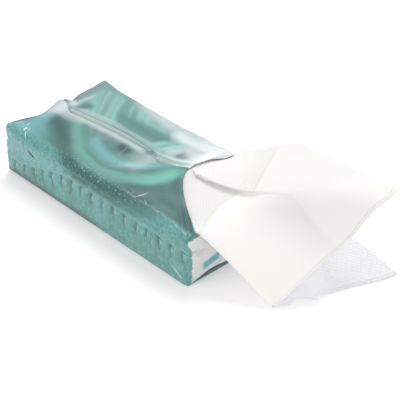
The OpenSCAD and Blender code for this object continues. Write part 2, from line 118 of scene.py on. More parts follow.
def course(stations: Sequence[Point], t: float) -> Vector:
    """Follows a smooth curve through stations.

    Args:
        stations: the points that the curve passes.
        t: the share of the way, from 0 to 1.

    Returns:
        The point on the curve.
    """
    last = len(stations) - 1
    n = min(last - 1, int(t * last))
    f = t * last - n
    a, b = Vector(stations[max(0, n - 1)]), Vector(stations[n])
    c, d = Vector(stations[n + 1]), Vector(stations[min(last, n + 2)])
    return b + f * ((c - a) + f * ((2 * a - 5 * b + 4 * c - d) + f * (3 * b - a - 3 * c + d))) / 2


def srgb(red: int, green: int, blue: int) -> Colour:
    """Turns a colour as it shows on a screen, 0 to 255, into the renderer's linear one."""
    shown = (value / 255 for value in (red, green, blue))
    return tuple(v / 12.92 if v <= 0.04045 else ((v + 0.055) / 1.055) ** 2.4 for v in shown)


def thicken(mesh: bmesh.types.BMesh, thickness: float) -> None:
    """Gives an open surface a second side and a rim.

    Args:
        mesh: the surface, its normals outwards.
        thickness: the distance inwards to the second side.
    """
    mesh.normal_update()
    grown = bmesh.ops.extrude_face_region(mesh, geom=mesh.faces[:], use_keep_orig=True)
    for item in grown["geom"]:
        if isinstance(item, bmesh.types.BMVert):
            item.co -= item.normal * thickness
    bmesh.ops.recalc_face_normals(mesh, faces=mesh.faces)


def as_object(mesh: bmesh.types.BMesh, name: str, material: bpy.types.Material) -> bpy.types.Object:
    """Turns a finished mesh into a smooth shaded object at the origin.

    Args:
        mesh: the finished mesh, which is freed.
        name: the object's name.
        material: its material.

    Returns:
        The object.
    """
    data = bpy.data.meshes.new(name)
    mesh.to_mesh(data)
    mesh.free()
    data.materials.append(material)
    data.shade_smooth()
    made = bpy.data.objects.new(name, data)
    bpy.context.collection.objects.link(made)
    return made


class Value:
    """A shader socket that takes part in arithmetic."""

    def __init__(self, bench: "Bench", socket: bpy.types.NodeSocket) -> None:
        self.bench = bench
        self.socket = socket

    def _math(self, operation: str, first: object, second: object = 0.0) -> "Value":
        """Adds one Math node on two operands."""
        node = self.bench.node("ShaderNodeMath", {"operation": operation}, {0: first, 1: second})
        return Value(self.bench, node.outputs[0])

    def __add__(self, other: object) -> "Value":
        """Sum."""
        return self._math("ADD", self, other)

    __radd__ = __add__

    def __sub__(self, other: object) -> "Value":
        """Difference."""
        return self._math("SUBTRACT", self, other)

    def __rsub__(self, other: object) -> "Value":
        """Difference from a plain number."""
        return self._math("SUBTRACT", other, self)

    def __mul__(self, other: object) -> "Value":
        """Product."""
        return self._math("MULTIPLY", self, other)

    __rmul__ = __mul__

    def __truediv__(self, other: object) -> "Value":
        """Quotient."""
        return self._math("DIVIDE", self, other)

    def sine(self) -> "Value":
        """Sine of an angle in radians."""
        return self._math("SINE", self)

    def size(self) -> "Value":
        """Absolute value."""
        return self._math("ABSOLUTE", self)

    def whole(self) -> "Value":
        """The nearest whole number."""
        return self._math("ROUND", self)

    def most(self, other: object) -> "Value":
        """The larger of two values."""
        return self._math("MAXIMUM", self, other)

    def least(self, other: object) -> "Value":
        """The smaller of two values."""
        return self._math("MINIMUM", self, other)


class Bench:
    """Builds the nodes of one material or of the world."""

    def __init__(self, owner: bpy.types.Material | bpy.types.World, shader: str = "Principled BSDF") -> None:
        owner.use_nodes = True
        self.owner = owner
        self.tree = owner.node_tree
        self.shader = self.tree.nodes[shader]

    @classmethod
    def for_material(cls, name: str) -> "Bench":
        """Starts a new material."""
        return cls(bpy.data.materials.new(name))

    def node(self, kind: str, settings: dict | None = None, inputs: dict | None = None) -> bpy.types.Node:
        """Adds a node.

        Args:
            kind: the node's type.
            settings: attributes to set first; the key "points" fills a curve.
            inputs: a value or a link for each named or numbered socket.

        Returns:
            The new node.
        """
        made = self.tree.nodes.new(kind)
        for key, setting in (settings or {}).items():
            if key == "points":
                self._fill_curve(made.mapping, setting)
            else:
                setattr(made, key, setting)
        for key, given in (inputs or {}).items():
            self.feed(made.inputs[key], given)
        return made

    def _fill_curve(self, mapping: bpy.types.CurveMapping, points: Stations) -> None:
        """Places the points of a smooth curve."""
        curve = mapping.curves[0]
        while len(curve.points) < len(points):
            curve.points.new(1.0, 1.0)
        for point, (place, height) in zip(curve.points, points):
            point.location = (place, height)
        mapping.extend = "HORIZONTAL"
        mapping.update()

    def feed(self, socket: bpy.types.NodeSocket, given: object) -> None:
        """Links or sets one socket."""
        if isinstance(given, Value):
            self.tree.links.new(given.socket, socket)
        elif isinstance(given, bpy.types.NodeSocket):
            self.tree.links.new(given, socket)
        elif isinstance(given, tuple) and socket.type == "RGBA":
            socket.default_value = (*given, 1.0)
        else:
            socket.default_value = given

    def finish(self, inputs: dict) -> bpy.types.Material | bpy.types.World:
        """Feeds the shader and returns the material or the world."""
        for key, given in inputs.items():
            self.feed(self.shader.inputs[key], given)
        return self.owner

    def uv_mm(self) -> tuple[Value, Value]:
        """The piece's own unrolled coordinates, in millimetres."""
        coordinates = self.node("ShaderNodeTexCoord")
        split = self.node("ShaderNodeSeparateXYZ", None, {0: coordinates.outputs["UV"]})
        return Value(self, split.outputs[0]) * UV_MM, Value(self, split.outputs[1]) * UV_MM

    def object_mm(self) -> tuple[Value, Value, Value]:
        """The place on the object, in millimetres."""
        coordinates = self.node("ShaderNodeTexCoord")
        split = self.node("ShaderNodeSeparateXYZ", None, {0: coordinates.outputs["Object"]})
        return tuple(Value(self, output) / MM for output in split.outputs)

    def joined(self, x: object, y: object, z: object = 0.0) -> bpy.types.NodeSocket:
        """Joins three values into a vector."""
        return self.node("ShaderNodeCombineXYZ", None, {0: x, 1: y, 2: z}).outputs[0]

    def cloud(
        self, vector: bpy.types.NodeSocket, size: float, detail: float = 2.0, rough: float = 0.5
    ) -> Value:
        """Soft noise around 0.5.

        Args:
            vector: the coordinates, in millimetres.
            size: the width of one lump, in millimetres.
            detail: how many finer layers are added.
            rough: how strong the finer layers are.

        Returns:
            The noise.
        """
        made = self.node("ShaderNodeTexNoise", {"noise_dimensions": "3D"},
                         {"Vector": vector, "Scale": 1.0 / size, "Detail": detail, "Roughness": rough})
        return Value(self, made.outputs[0])

    def rise(self, value: object, low: float, high: float) -> Value:
        """Eases from 0 at low to 1 at high."""
        made = self.node("ShaderNodeMapRange", {"interpolation_type": "SMOOTHSTEP"},
                         {"Value": value, "From Min": low, "From Max": high})
        return Value(self, made.outputs[0])

    def band(self, value: Value, centre: float, half: float) -> Value:
        """1 at centre, easing to 0 at half the width to either side."""
        return 1 - self.rise((value - centre).size(), 0.0, half)

    def path(self, place: Value, stations: Stations) -> Value:
        """Reads a smooth curve through stations of place and value, both within 60 mm of 0."""
        points = [(at / PATH_SPAN + 0.5, value / PATH_SPAN + 0.5) for at, value in stations]
        made = self.node("ShaderNodeFloatCurve", {"points": points}, {"Value": place / PATH_SPAN + 0.5})
        return (Value(self, made.outputs[0]) - 0.5) * PATH_SPAN

    def mixed(self, share: object, first: object, second: object) -> bpy.types.NodeSocket:
        """Mixes two colours by a share from 0 to 1."""
        made = self.node("ShaderNodeMix", {"data_type": "RGBA"}, {0: share, 6: first, 7: second})
        return made.outputs[2]

    def relief(self, height: Value, depth_mm: float) -> bpy.types.NodeSocket:
        """Turns a height from 0 to 1 into a bent normal."""
        return self.node("ShaderNodeBump", None,
                         {"Strength": 1.0, "Distance": depth_mm * MM, "Height": height}).outputs[0]

    def attribute(self, name: str) -> Value:
        """One of the piece's own painted values."""
        return Value(self, self.node("ShaderNodeAttribute", {"attribute_name": name}).outputs["Fac"])


def printed(red: int, green: int, blue: int) -> Colour:
    """The film's base colour for a colour as it shows under the lamps, without the film's own sheen."""
    return tuple(max(0.004, (v - SHEEN) / LIT) for v in srgb(red, green, blue))


@dataclass(frozen=True)
class Stroke:
    """A soft stripe along a smooth path, in millimetres: print, and in some strokes painted highlight and
    shade.

    The path's stations are places in rising order, each with its value: an unrolled coordinate for each X,
    or where the stroke is upright an X for each unrolled coordinate.
    """

    colour: Colour
    half: float
    strength: float
    path: Stations
    upright: bool
    fade: float

    def laid(self, bench: Bench, under: object, x: Value, s: Value) -> bpy.types.NodeSocket:
        """Lays the stripe over a colour and returns the new one."""
        place, other = (s, x) if self.upright else (x, s)
        away = (other - bench.path(place, self.path)).size()
        first, last = self.path[0][0], self.path[-1][0]
        ends = bench.rise(place, first, first + self.fade) * bench.rise(last - place, 0.0, self.fade)
        body = 1 - bench.rise(away, 0.0, self.half)
        return bench.mixed(body * ends * self.strength, under, self.colour)


def lengthwise(
    colour: Colour, half: float, strength: float, *path: tuple[float, float], fade: float = 4.0
) -> Stroke:
    """A stroke along the pack, with an unrolled coordinate for each X."""
    return Stroke(colour, half, strength, path, False, fade)


def crosswise(
    colour: Colour, half: float, strength: float, *path: tuple[float, float], fade: float = 4.0
) -> Stroke:
    """A stroke across the pack, with an X for each unrolled coordinate."""
    return Stroke(colour, half, strength, path, True, fade)


def lay(
    bench: Bench, under: bpy.types.NodeSocket, strokes: Sequence[Stroke], x: Value, s: Value
) -> bpy.types.NodeSocket:
    """Lays strokes over a colour, each on the ones before it, and returns the new colour."""
    for stroke in strokes:
        under = stroke.laid(bench, under, x, s)
    return under


DARK = printed(80, 114, 112)
DEEP = printed(58, 88, 86)
SLATE = printed(96, 135, 131)
STONE = printed(128, 154, 153)
BROWN = printed(100, 120, 111)
TEAL = printed(108, 155, 151)
BLUE = printed(122, 176, 183)
SKY = printed(130, 184, 189)
GREEN = printed(118, 170, 160)
BRIGHT = printed(122, 194, 181)
MINT = printed(140, 202, 189)
AQUA = printed(168, 208, 207)
LILAC = printed(162, 186, 187)
HAZE = printed(194, 207, 207)
ROSE = printed(176, 186, 186)
PALE = printed(216, 224, 227)
CHALK = printed(238, 242, 243)

# Print of the top's near half, each stroke on the ones before it
NEAR_STROKES = (
    # Blue corner at the closed end with a painted aqua sheen on its shoulder, a teal one by the mouth
    crosswise(BLUE, 14, 0.95, (-34, -47), (-22, -47), (-14, -48), (-4, -50)),
    lengthwise(BLUE, 7, 0.7, (-54, -26), (-42, -26.5), (-30, -28), (-20, -31), fade=8),
    lengthwise(AQUA, 7, 0.6, (-58, -23), (-50, -25), (-42, -28), fade=5),
    lengthwise(TEAL, 5.5, 0.8, (30, -25.5), (40, -23.5), (50, -26), (60, -29), fade=9),
    # Dark diagonal, brown patch and dark stretch along the shoulder
    lengthwise(DARK, 8.5, 1, (-48, -6), (-42, -10), (-35, -13.5), (-28, -17.5), (-20, -22.5), fade=6),
    lengthwise(BROWN, 4.6, 0.7, (-32, -18.5), (-25, -20), (-17, -21)),
    lengthwise(DARK, 6, 0.8, (-26, -21), (-14, -24.5), (2, -25.5), (18, -23), (34, -20), fade=8),
    # Outer ring, dark beside the mouth and brightest where it meets the far half
    lengthwise(GREEN, 6.6, 0.95, (-42, 0), (-36, -3.5), (-30, -8.5), (-22, -14.5), (-14, -18.2),
        (-5, -19.4), (4, -18.4), (12, -13.6), (18, -8), fade=6),
    lengthwise(DARK, 9.5, 0.95, (8, -23), (16, -19), (25, -14), (36, -17), (50, -23), fade=8),
    crosswise(GREEN, 6, 0.6, (-20, 3), (-15, 10), (-10, 14.6), (-4, 17.6), (1, 19.6), fade=6),
    crosswise(BRIGHT, 6.4, 0.85, (-19, 9), (-14, 14.6), (-9, 17.4), (-4, 18.8), (1, 19.9), (6, 21.5),
        fade=8),
    # Inner rings
    lengthwise(TEAL, 2.6, 0.8, (-36, 0.5), (-31, -3.6), (-26, -8.6), (-20, -13), (-13, -16), fade=5),
    lengthwise(LILAC, 2.4, 0.3, (-32, 0.5), (-27, -4), (-22, -8.8), (-16, -12)),
    lengthwise(SKY, 4.6, 0.8, (-24, -4), (-18, -8.8), (-12, -11.2), (-6, -12.2), (0, -11.4), (6, -7.6)),
    crosswise(SKY, 4.2, 0.65, (-12, 0), (-8, 5.4), (-4, 9.2), (0, 11.8), (5, 14.2)),
    lengthwise(SLATE, 1.7, 0.55, (-20, -13.6), (-12, -16.2), (-5, -17), (2, -15.6), (8, -11.4), (13, -5.6)),
    # Grey ground of the innermost bowl and its dark middle
    lengthwise(STONE, 5.4, 0.95, (-28, -1), (-18, -2.4), (-8, -3.2), (2, -2.4), (9, -0.4)),
    lengthwise(SLATE, 4.2, 0.95, (-18, -4.6), (-12, -5), (-6, -4), (0, -3.6), (6, -2.8)),
    lengthwise(DEEP, 4.2, 0.85, (-12, -3.4), (-7.5, -3.9), (-1.5, -4.6), fade=3.5),
    # Dark edge along the mouth
    lengthwise(DARK, 5, 0.85, (20, 0), (25, -4.6), (33, -10.6), (42, -17), (57, -25)),
    # Pale band along the lip and pale hump at the closed end, print with a painted reflection on top
    lengthwise(ROSE, 3.6, 0.8, (-54, -5), (-45, -4.8), (-38, -4.4), (-30, -2.4), fade=5),
    lengthwise(HAZE, 3, 0.9, (-46, -2.6), (-32, -1.8), (-20, -0.6), (-8, 0.4), (3, 0.8), fade=6),
    crosswise(PALE, 10.5, 1, (-9, -51), (-4, -49.5), (1, -49), (7, -50), fade=6),
    # Crease, and two scratches painted as bright highlight lines
    crosswise(STONE, 0.8, 0.7, (-18, -1.4), (-12, -2.4), (-7, -5.6), (-4, -6.2), (-0.5, -8.8)),
    crosswise(CHALK, 0.42, 0.7, (-23, 20.8), (-19.5, 21.6), (-16, 22.6), fade=3),
    lengthwise(AQUA, 0.4, 0.5, (24, -20.5), (26.5, -21.8), (28, -23), fade=1.5),
)

# Print of its far half
FAR_STROKES = (
    # Slanted streaks towards the closed end
    crosswise(MINT, 2, 0.75, (3, -36.4), (7.5, -39), (11, -42.4), (14, -44.4)),
    crosswise(LILAC, 1.9, 0.6, (4, -33.4), (10, -37.6), (16, -41.8), (24, -46.4)),
    crosswise(GREEN, 1.6, 0.6, (4, -30.6), (10, -35), (16, -39), (24, -43.6)),
    crosswise(LILAC, 1.8, 0.65, (4, -27.8), (10, -32.4), (16, -36.6), (24, -41)),
    crosswise(MINT, 1.9, 0.55, (4, -24.6), (9, -28.6), (15, -33), (23, -37.4)),
    # Bright upper edge of the bowl
    lengthwise(MINT, 2.2, 0.45, (-27, 22), (-23, 19.6), (-18, 17.4), (-11, 16.6), (-4, 17)),
    # Pale end, grey and pale stripes along the far edge: print with a painted reflection on top
    lengthwise(CHALK, 5, 0.65, (-5, 19.6), (1, 18.8), (7, 18), (13, 18.8), (22, 22), fade=7),
    lengthwise(STONE, 2.6, 0.65, (-56, 25.6), (-36, 24.8), (-26, 25.2), (-16, 26), fade=9),
    lengthwise(HAZE, 4.6, 1, (-34, 26), (-18, 24.6), (-2, 25.2), (14, 26.5), fade=9),
    # Bands beside the mouth, with a rose patch and a dark one
    crosswise(HAZE, 6.5, 0.9, (4, 6.5), (9, 9), (14, 12.5), (19, 15), fade=5),
    crosswise(MINT, 3.8, 1, (2, -2.6), (7, -0.4), (11, 1.8), (14, 4.4)),
    crosswise(AQUA, 3, 0.9, (3.5, 3.4), (9, 5.6), (13, 7.6), (18, 9.8)),
    crosswise(ROSE, 3.2, 0.8, (9, 15), (13, 16), (19, 18.4), fade=3.5),
    lengthwise(LILAC, 6, 1, (9.5, 5.6), (14, 6.8), (17, 8.6), (20, 11.6)),
    lengthwise(DARK, 5, 0.9, (9.5, 8.4), (12.5, 8.6), (17.5, 8.8), fade=3),
    # Grey strip and dark wedge as painted shade on the end's sloping facets, pale folds as painted highlights
    crosswise(STONE, 6.5, 0.95, (0, -53), (10, -52.4), (17, -52), (22.5, -52.4), (28, -54)),
    crosswise(SLATE, 4.6, 1, (0.5, -44), (5, -42.8), (8, -42.6), (11, -43.8)),
    crosswise(HAZE, 2.2, 0.8, (3, -47.2), (8, -47.4), (12, -47.4), (18, -46.8), fade=8),
    crosswise(PALE, 4, 0.75, (0, -47.2), (4, -47.8), (7, -47.8), fade=3),
    # Pale band along the far lip
    lengthwise(HAZE, 2.6, 0.6, (-45, 1.6), (-38, 3.8), (-28, 5.4), (-18, 6.4), fade=6),
    lengthwise(LILAC, 2.4, 0.9, (-46, 0.4), (-38, 2.2), (-28, 4.2), (-18, 5.6), (-8, 6), (6, 5), fade=6),
)

# Pale band where the halves meet between the slit and the mouth
MIDDLE_STROKES = (
    lengthwise(HAZE, 3.4, 0.95, (1, 2.4), (6, 2.8), (10, 3.6), (14, 5.2), (17.5, 8.4), (20, 12), fade=5),
    lengthwise(LILAC, 3.2, 0.55, (5, 2.8), (10, 3.6), (14, 5.2), (17.5, 8.4), (20, 12)),
)

# Sparkles and a dark nick at the near corner of the closed end
GLINTS = (
    crosswise(CHALK, 0.5, 0.8, (-26.6, -42.6), (-24.6, -44.4), (-23.4, -45.2), fade=1),
    crosswise(CHALK, 0.6, 0.9, (-24.2, -46.6), (-22.6, -46.6), (-21.2, -47.2), fade=0.9),
    crosswise(AQUA, 0.5, 0.9, (-23, -44.6), (-21.8, -45.4), (-20.6, -45.6), fade=0.8),
    crosswise(CHALK, 0.4, 0.8, (-21, -48), (-19.6, -48.6), (-18.4, -48.8), fade=0.9),
    crosswise(DEEP, 1.6, 0.7, (-27.5, -55.4), (-22, -54.4), (-16, -52.6), (-12, -52)),
)

# Upper edge of the near wall's print: a height for each X
WALL_PRINT_TOP = (
    (-55.0, 24.0), (-32.0, 24.0), (-24.0, 21.0), (-14.0, 17.6), (-4.0, 16.6), (14.0, 16.6), (24.0, 17.6),
    (33.0, 20.0), (42.0, 23.5), (55.0, 25.0))
# Slant of the far half's streaks: an X for each unrolled coordinate
STREAK_LEAN = ((3.0, 2.5), (8.0, 0.0), (13.0, -4.0), (18.0, -8.0), (25.0, -12.0), (30.0, -14.0))
# Upper edge and right end of the far half's dark bowl
BOWL_TOP = (
    (-38.0, 20.5), (-33.0, 17.8), (-27.0, 15.2), (-20.0, 15.0), (-12.0, 16.0), (-5.0, 16.4), (0.0, 15.4),
    (4.0, 14.0))
BOWL_END = ((5.0, -3.5), (8.0, -1.8), (12.0, 0.2), (17.0, 2.6))
# Upper edge of the end panel's lower border, teal film painted dark as in shade: a height for each Y
PANEL_SHADE_EDGE = (
    (-27.0, 0.2), (-24.0, 0.9), (-19.0, 2.4), (-14.0, 3.2), (-8.0, 2.8), (10.0, 2.0), (26.0, 1.0))


@dataclass(frozen=True)
class FilmFinish:
    """Glossy film with a marbled print, white on the open end's panel.

    The lengths are in millimetres: the places of a nick painted in shadow and a painted shine on the near
    wall, the heights of the walls' hem painted dark as shade and of the white panel, and the place and half
    sizes of the bar on the panel.
    """

    shadow: Colour = printed(52, 84, 82)
    nick_shadow: Colour = printed(34, 66, 62)
    # Painted shade for the walls' lower edge, where the film curls under
    hem: Colour = printed(84, 108, 104)
    wall: Colour = printed(106, 158, 152)
    wall_blue: Colour = printed(116, 172, 174)
    wall_light: Colour = printed(148, 196, 192)
    wall_dark: Colour = printed(84, 136, 132)
    streak_dark: Colour = printed(118, 160, 155)
    streak_light: Colour = printed(138, 184, 178)
    bowl: Colour = printed(118, 158, 152)
    bowl_deep: Colour = printed(98, 142, 136)
    white: Colour = srgb(226, 227, 223)
    beige_shade: Colour = srgb(196, 190, 184)
    stripe: Colour = srgb(88, 172, 186)
    nick_x: float = -38.4
    nick_z: float = 15.6
    shine_x: float = 49.5
    shine_z: float = 4.4
    hem_h: float = 3.4
    panel_h: float = 21.2
    bar_y: float = -14.4
    bar_z: float = 7.02
    bar_half_l: float = 5.0
    bar_half_h: float = 2.3
    bar_slope: float = 0.2
    crinkle_depth: float = 0.12
    roughness: float = 0.2
    coat: float = 0.25
    coat_roughness: float = 0.06
    painted: tuple[str, ...] = ("crease", "phase", "over", "curl")

    def build(self, pack: "PackSizes") -> bpy.types.Material:
        """Makes the material.

        Args:
            pack: the wrap's sizes, which place the print.

        Returns:
            The material.
        """
        bench = Bench.for_material("film_print")
        x, s = bench.uv_mm()
        top = self._top_print(bench, pack, x, s)
        body = bench.mixed(self._on_wall(bench, pack, x), top, self._wall_print(bench))
        body = self._crinkle_glints(bench, body, x, s)
        colour = self._end_print(bench, body, pack)
        # Painted shade along the slit's edges and in the gathers' grooves
        colour = bench.mixed(bench.attribute("crease").least(1.0) * 0.8, colour, self.shadow)
        return bench.finish({
            "Base Color": colour,
            "Roughness": self.roughness,
            "Coat Weight": self.coat,
            "Coat Roughness": self.coat_roughness,
            "Normal": self._crinkles(bench, pack),
        })

    def _top_print(self, bench: Bench, pack: "PackSizes", x: Value, s: Value) -> bpy.types.NodeSocket:
        """The top's two halves, which meet at the slit, with a pale strip on the lip that curls into it."""
        wavy_x = x + (bench.cloud(bench.joined(x, s), 9.0, 1.0) - 0.5) * 2.0
        wavy_s = s + (bench.cloud(bench.joined(s, x, 40.0), 8.0, 1.0) - 0.5) * 1.6
        near = self._near_print(bench, wavy_x, wavy_s)
        far = self._far_print(bench, x * 0.7 + wavy_x * 0.3, s)
        seam = bench.path(x, pack.seam_stations)
        top = bench.mixed(bench.rise(s - seam, 0.0, 0.7), near, far)
        top = lay(bench, top, MIDDLE_STROKES, wavy_x, wavy_s)
        return bench.mixed(bench.rise(bench.attribute("curl"), 0.1, 0.4) * 0.9, top, HAZE)

    def _on_wall(self, bench: Bench, pack: "PackSizes", x: Value) -> Value:
        """Where the walls' print shows: on the long sides below its wavy edge, and on the closed end."""
        _, y, z = bench.object_mm()
        edge = bench.path(x, WALL_PRINT_TOP) - bench.rise(y, 0.0, 6.0) * 4
        on_side = bench.rise(y.size(), pack.half_w - 5.5, pack.half_w - 2.0)
        on_side = on_side * bench.rise(edge - z, -2.4, 1.6)
        on_end = bench.rise(0 - x, pack.half_l - 0.6, pack.half_l - 0.1)
        return on_side.most(on_end * 0.8)

    def _near_print(self, bench: Bench, x: Value, s: Value) -> bpy.types.NodeSocket:
        """Nested bowls of colour on the near half of the top."""
        broad = bench.cloud(bench.joined(x, s, 21.0), 9.0, 1.0)
        colour = bench.mixed(bench.rise(broad, 0.35, 0.65) * 0.5, SLATE, TEAL)
        return lay(bench, colour, NEAR_STROKES, x, s)

    def _far_print(self, bench: Bench, x: Value, s: Value) -> bpy.types.NodeSocket:
        """Streaks, a dark bowl, a bright band and a pale end, partly painted reflection, on the top's far
        half.
        """
        q = x - bench.path(s, STREAK_LEAN)
        streaks = bench.cloud(bench.joined(q, s * 0.05, 3.0), 3.6, 1.0, 0.5)
        colour = bench.mixed(bench.rise(streaks, 0.32, 0.66), self.streak_dark, self.streak_light)
        colour = bench.mixed(bench.rise(s, 17.0, 27.0) * 0.7, colour, STONE)
        # Pale haze and pale end: print with a painted reflection of the bright surroundings
        haze = bench.rise(s + x * 0.12, 13.0, 22.0) * bench.rise(x, -36.0, -14.0)
        colour = bench.mixed(haze.most(bench.rise(x, 6.0, 15.0)) * 0.95, colour, HAZE)
        colour = bench.mixed(bench.rise(x + s * 0.5, 16.0, 32.0), colour, PALE)
        bowl = bench.rise(bench.path(x, BOWL_TOP) - s, -2.4, 2.8) * bench.rise(q, -29.5, -22.5)
        bowl = bowl * bench.rise(bench.path(s, BOWL_END) - x, -3.0, 3.0)
        deep = (1 - bench.rise((s - 11.5).size(), 0.0, 6.0)) * 0.8
        colour = bench.mixed(bowl, colour, bench.mixed(deep, self.bowl, self.bowl_deep))
        return lay(bench, colour, FAR_STROKES, x, s)

    def _wall_print(self, bench: Bench) -> bpy.types.NodeSocket:
        """Mottled teal, painted shade and highlights at the gathers and painted shade at the lower edge."""
        x, y, z = bench.object_mm()
        lumps = bench.cloud(bench.joined(x, y, z), 9.0, 2.0)
        blue = bench.rise(lumps + (z - 12) * 0.012 - x * 0.0015, 0.38, 0.62)
        colour = bench.mixed(blue * 0.8, self.wall, self.wall_blue)
        upright = bench.cloud(bench.joined(x, y, z * 0.16), 1.2, 2.0, 0.6)
        mottle = bench.cloud(bench.joined(x, y, z * 0.7), 1.1, 3.0, 0.65)
        light = bench.rise(mottle, 0.52, 0.72) * 0.6 + bench.rise(upright, 0.55, 0.75) * 0.25
        dark = bench.rise(0.48 - mottle, 0.0, 0.18) * 0.6 + bench.rise(0.46 - upright, 0.0, 0.2) * 0.3
        colour = bench.mixed(light, colour, self.wall_light)
        colour = bench.mixed(dark, colour, self.wall_dark)
        colour = self._gather_shade_and_highlights(bench, colour)
        # Painted shadow in the nick of the near wall
        nick = bench.band(z - self.nick_z + (x - self.nick_x) * 0.4, 0.0, 0.9)
        nick = nick * bench.band(x, self.nick_x, 3.0)
        colour = bench.mixed((nick * 2).least(1.0) * bench.rise(0 - y, 0.0, 1.0), colour, self.nick_shadow)
        shine = bench.band(z - self.shine_z + (x - self.shine_x) * 0.55, 0.0, 1.2)
        shine = shine * bench.band(x, self.shine_x, 5.0) * bench.rise(mottle, 0.35, 0.55)
        colour = bench.mixed((shine * 1.6).least(0.9), colour, AQUA)
        # Painted shade along the lower edge, where the film curls under
        hem = bench.rise(self.hem_h - z, -0.6, 2.4) * bench.rise(0 - x, -12.0, 6.0)
        return bench.mixed(hem * 0.8, colour, self.hem)

    def _gather_shade_and_highlights(self, bench: Bench, under: bpy.types.NodeSocket) -> bpy.types.NodeSocket:
        """Painted shade in the gathers' slots and hooks, and a painted highlight on the puff beside each."""
        phase = bench.attribute("phase")
        over = bench.attribute("over") * OVER_MM
        number = phase.whole()
        away = (phase - number) * GATHER_PITCH
        chance = bench.cloud(bench.joined(number * 3.7, 0.0, 5.0), 1.0, 0.0)
        length = 3.4 + chance * 9
        slot = bench.band(away + 0.12 * over, 0.2, 1.25) * bench.rise(0 - over, -0.5, 0.5)
        slot = slot * bench.rise(length + over, 0.0, 4.5)
        bow = (over - 0.1 + 0.16 * away * away).size()
        hook_shade = bench.rise(0.62 - bow, 0.0, 0.4) * bench.rise(away, -0.6, 0.0)
        hook_shade = hook_shade * bench.rise(3.0 - away, 0.0, 1.6)
        puff = bench.band(away, 1.5, 1.5) * bench.band(over, -1.6, 1.9)
        rim = bench.band(over - 0.75 + 0.16 * away * away, 0.0, 0.55) * bench.rise(away, -1.0, 0.4)
        # Painted highlight on each puff and along the rim over it
        colour = bench.mixed((puff * 0.55 + rim * 0.3) * (0.4 + chance), under, self.wall_light)
        # Painted shade in each slot and under each hook
        return bench.mixed((slot * 0.7 + hook_shade * 0.6) * (0.35 + chance), colour, self.shadow)

    def _crinkle_glints(self, bench: Bench, body: bpy.types.NodeSocket, x: Value, s: Value) -> bpy.types.NodeSocket:
        """Painted highlight and shade specks on the crumpled near top edge, then the painted glints."""
        specks = bench.cloud(bench.joined(x, s, 13.0), 0.9, 2.0, 0.6)
        zone = bench.band(s, -25.0, 7.0) * bench.band(x, -4.0, 42.0)
        body = bench.mixed(bench.rise(specks, 0.58, 0.7) * zone * 0.75, body, AQUA)
        body = bench.mixed(bench.rise(0.43 - specks, 0.0, 0.1) * zone * 0.6, body, DEEP)
        return lay(bench, body, GLINTS, x, s)

    def _end_print(
        self, bench: Bench, body: bpy.types.NodeSocket, pack: "PackSizes"
    ) -> bpy.types.NodeSocket:
        """The open end's white panel with a short bar, painted crumple shade and a painted shade border
        below.
        """
        x, y, z = bench.object_mm()
        on_panel = bench.rise(x, pack.half_l - 0.75, pack.half_l - 0.35)
        ragged = (bench.cloud(bench.joined(y, z), 3.0, 2.0) - 0.5) * 2.0
        border = pack.half_w - 2.2 + bench.rise(z, 15.0, 20.0) * 1.6
        inside = bench.rise(border - y.size() + ragged, 0.0, 0.5)
        inside = inside * bench.rise(self.panel_h - z + ragged * 0.4, 0.0, 0.6)
        along_bar = y - self.bar_y
        across_bar = z - self.bar_z - along_bar * self.bar_slope
        bar = bench.rise(self.bar_half_h - across_bar.size(), 0.0, 1.4)
        bar = bar * bench.rise(self.bar_half_l - along_bar.size(), 0.0, 1.6)
        # Painted beige shade in blotches where the panel crumples
        beige_shade = bench.rise(bench.cloud(bench.joined(y * 0.8 + z * 0.5, z * 0.7, 8.0), 3.0, 2.0), 0.5, 0.75)
        white = bench.mixed(beige_shade * 0.45, self.white, self.beige_shade)
        white = bench.mixed(bar * 0.95, white, self.stripe)
        # Lower border: teal film painted dark as in shade
        low = bench.rise(bench.path(y, PANEL_SHADE_EDGE) - z, -0.3, 0.4)
        white = bench.mixed(low, white, DEEP)
        return bench.mixed(on_panel * inside, body, white)

    def _crinkles(self, bench: Bench, pack: "PackSizes") -> bpy.types.NodeSocket:
        """Fine crumples: strong at the shoulders, walls and ends, weak on the stretched top."""
        x, y, z = bench.object_mm()
        place = bench.joined(x, y, z)
        folds = 1 - (bench.cloud(place, 2.6, 2.0, 0.55) - 0.5).size() * 5
        tiny = 1 - (bench.cloud(bench.joined(x, y, z + 60), 1.1, 1.0) - 0.5).size() * 4
        upright = bench.cloud(bench.joined(x, y * 0.4, z * 0.25), 0.9, 2.0)
        shoulder = bench.rise(y.size(), pack.half_w - 7.0, pack.half_w - 3.0)
        ends = bench.rise(0 - x, pack.half_l - 14, pack.half_l - 2)
        wall = bench.rise(y.size(), pack.half_w - 1.4, pack.half_w - 0.4)
        rough = (0.05 + shoulder * 0.75 + ends * 0.7).least(1.0)
        height = folds.most(0.0) * rough * 0.8 + tiny.most(0.0) * rough * 0.3 + upright * wall * 0.7
        return bench.relief(height, self.crinkle_depth)


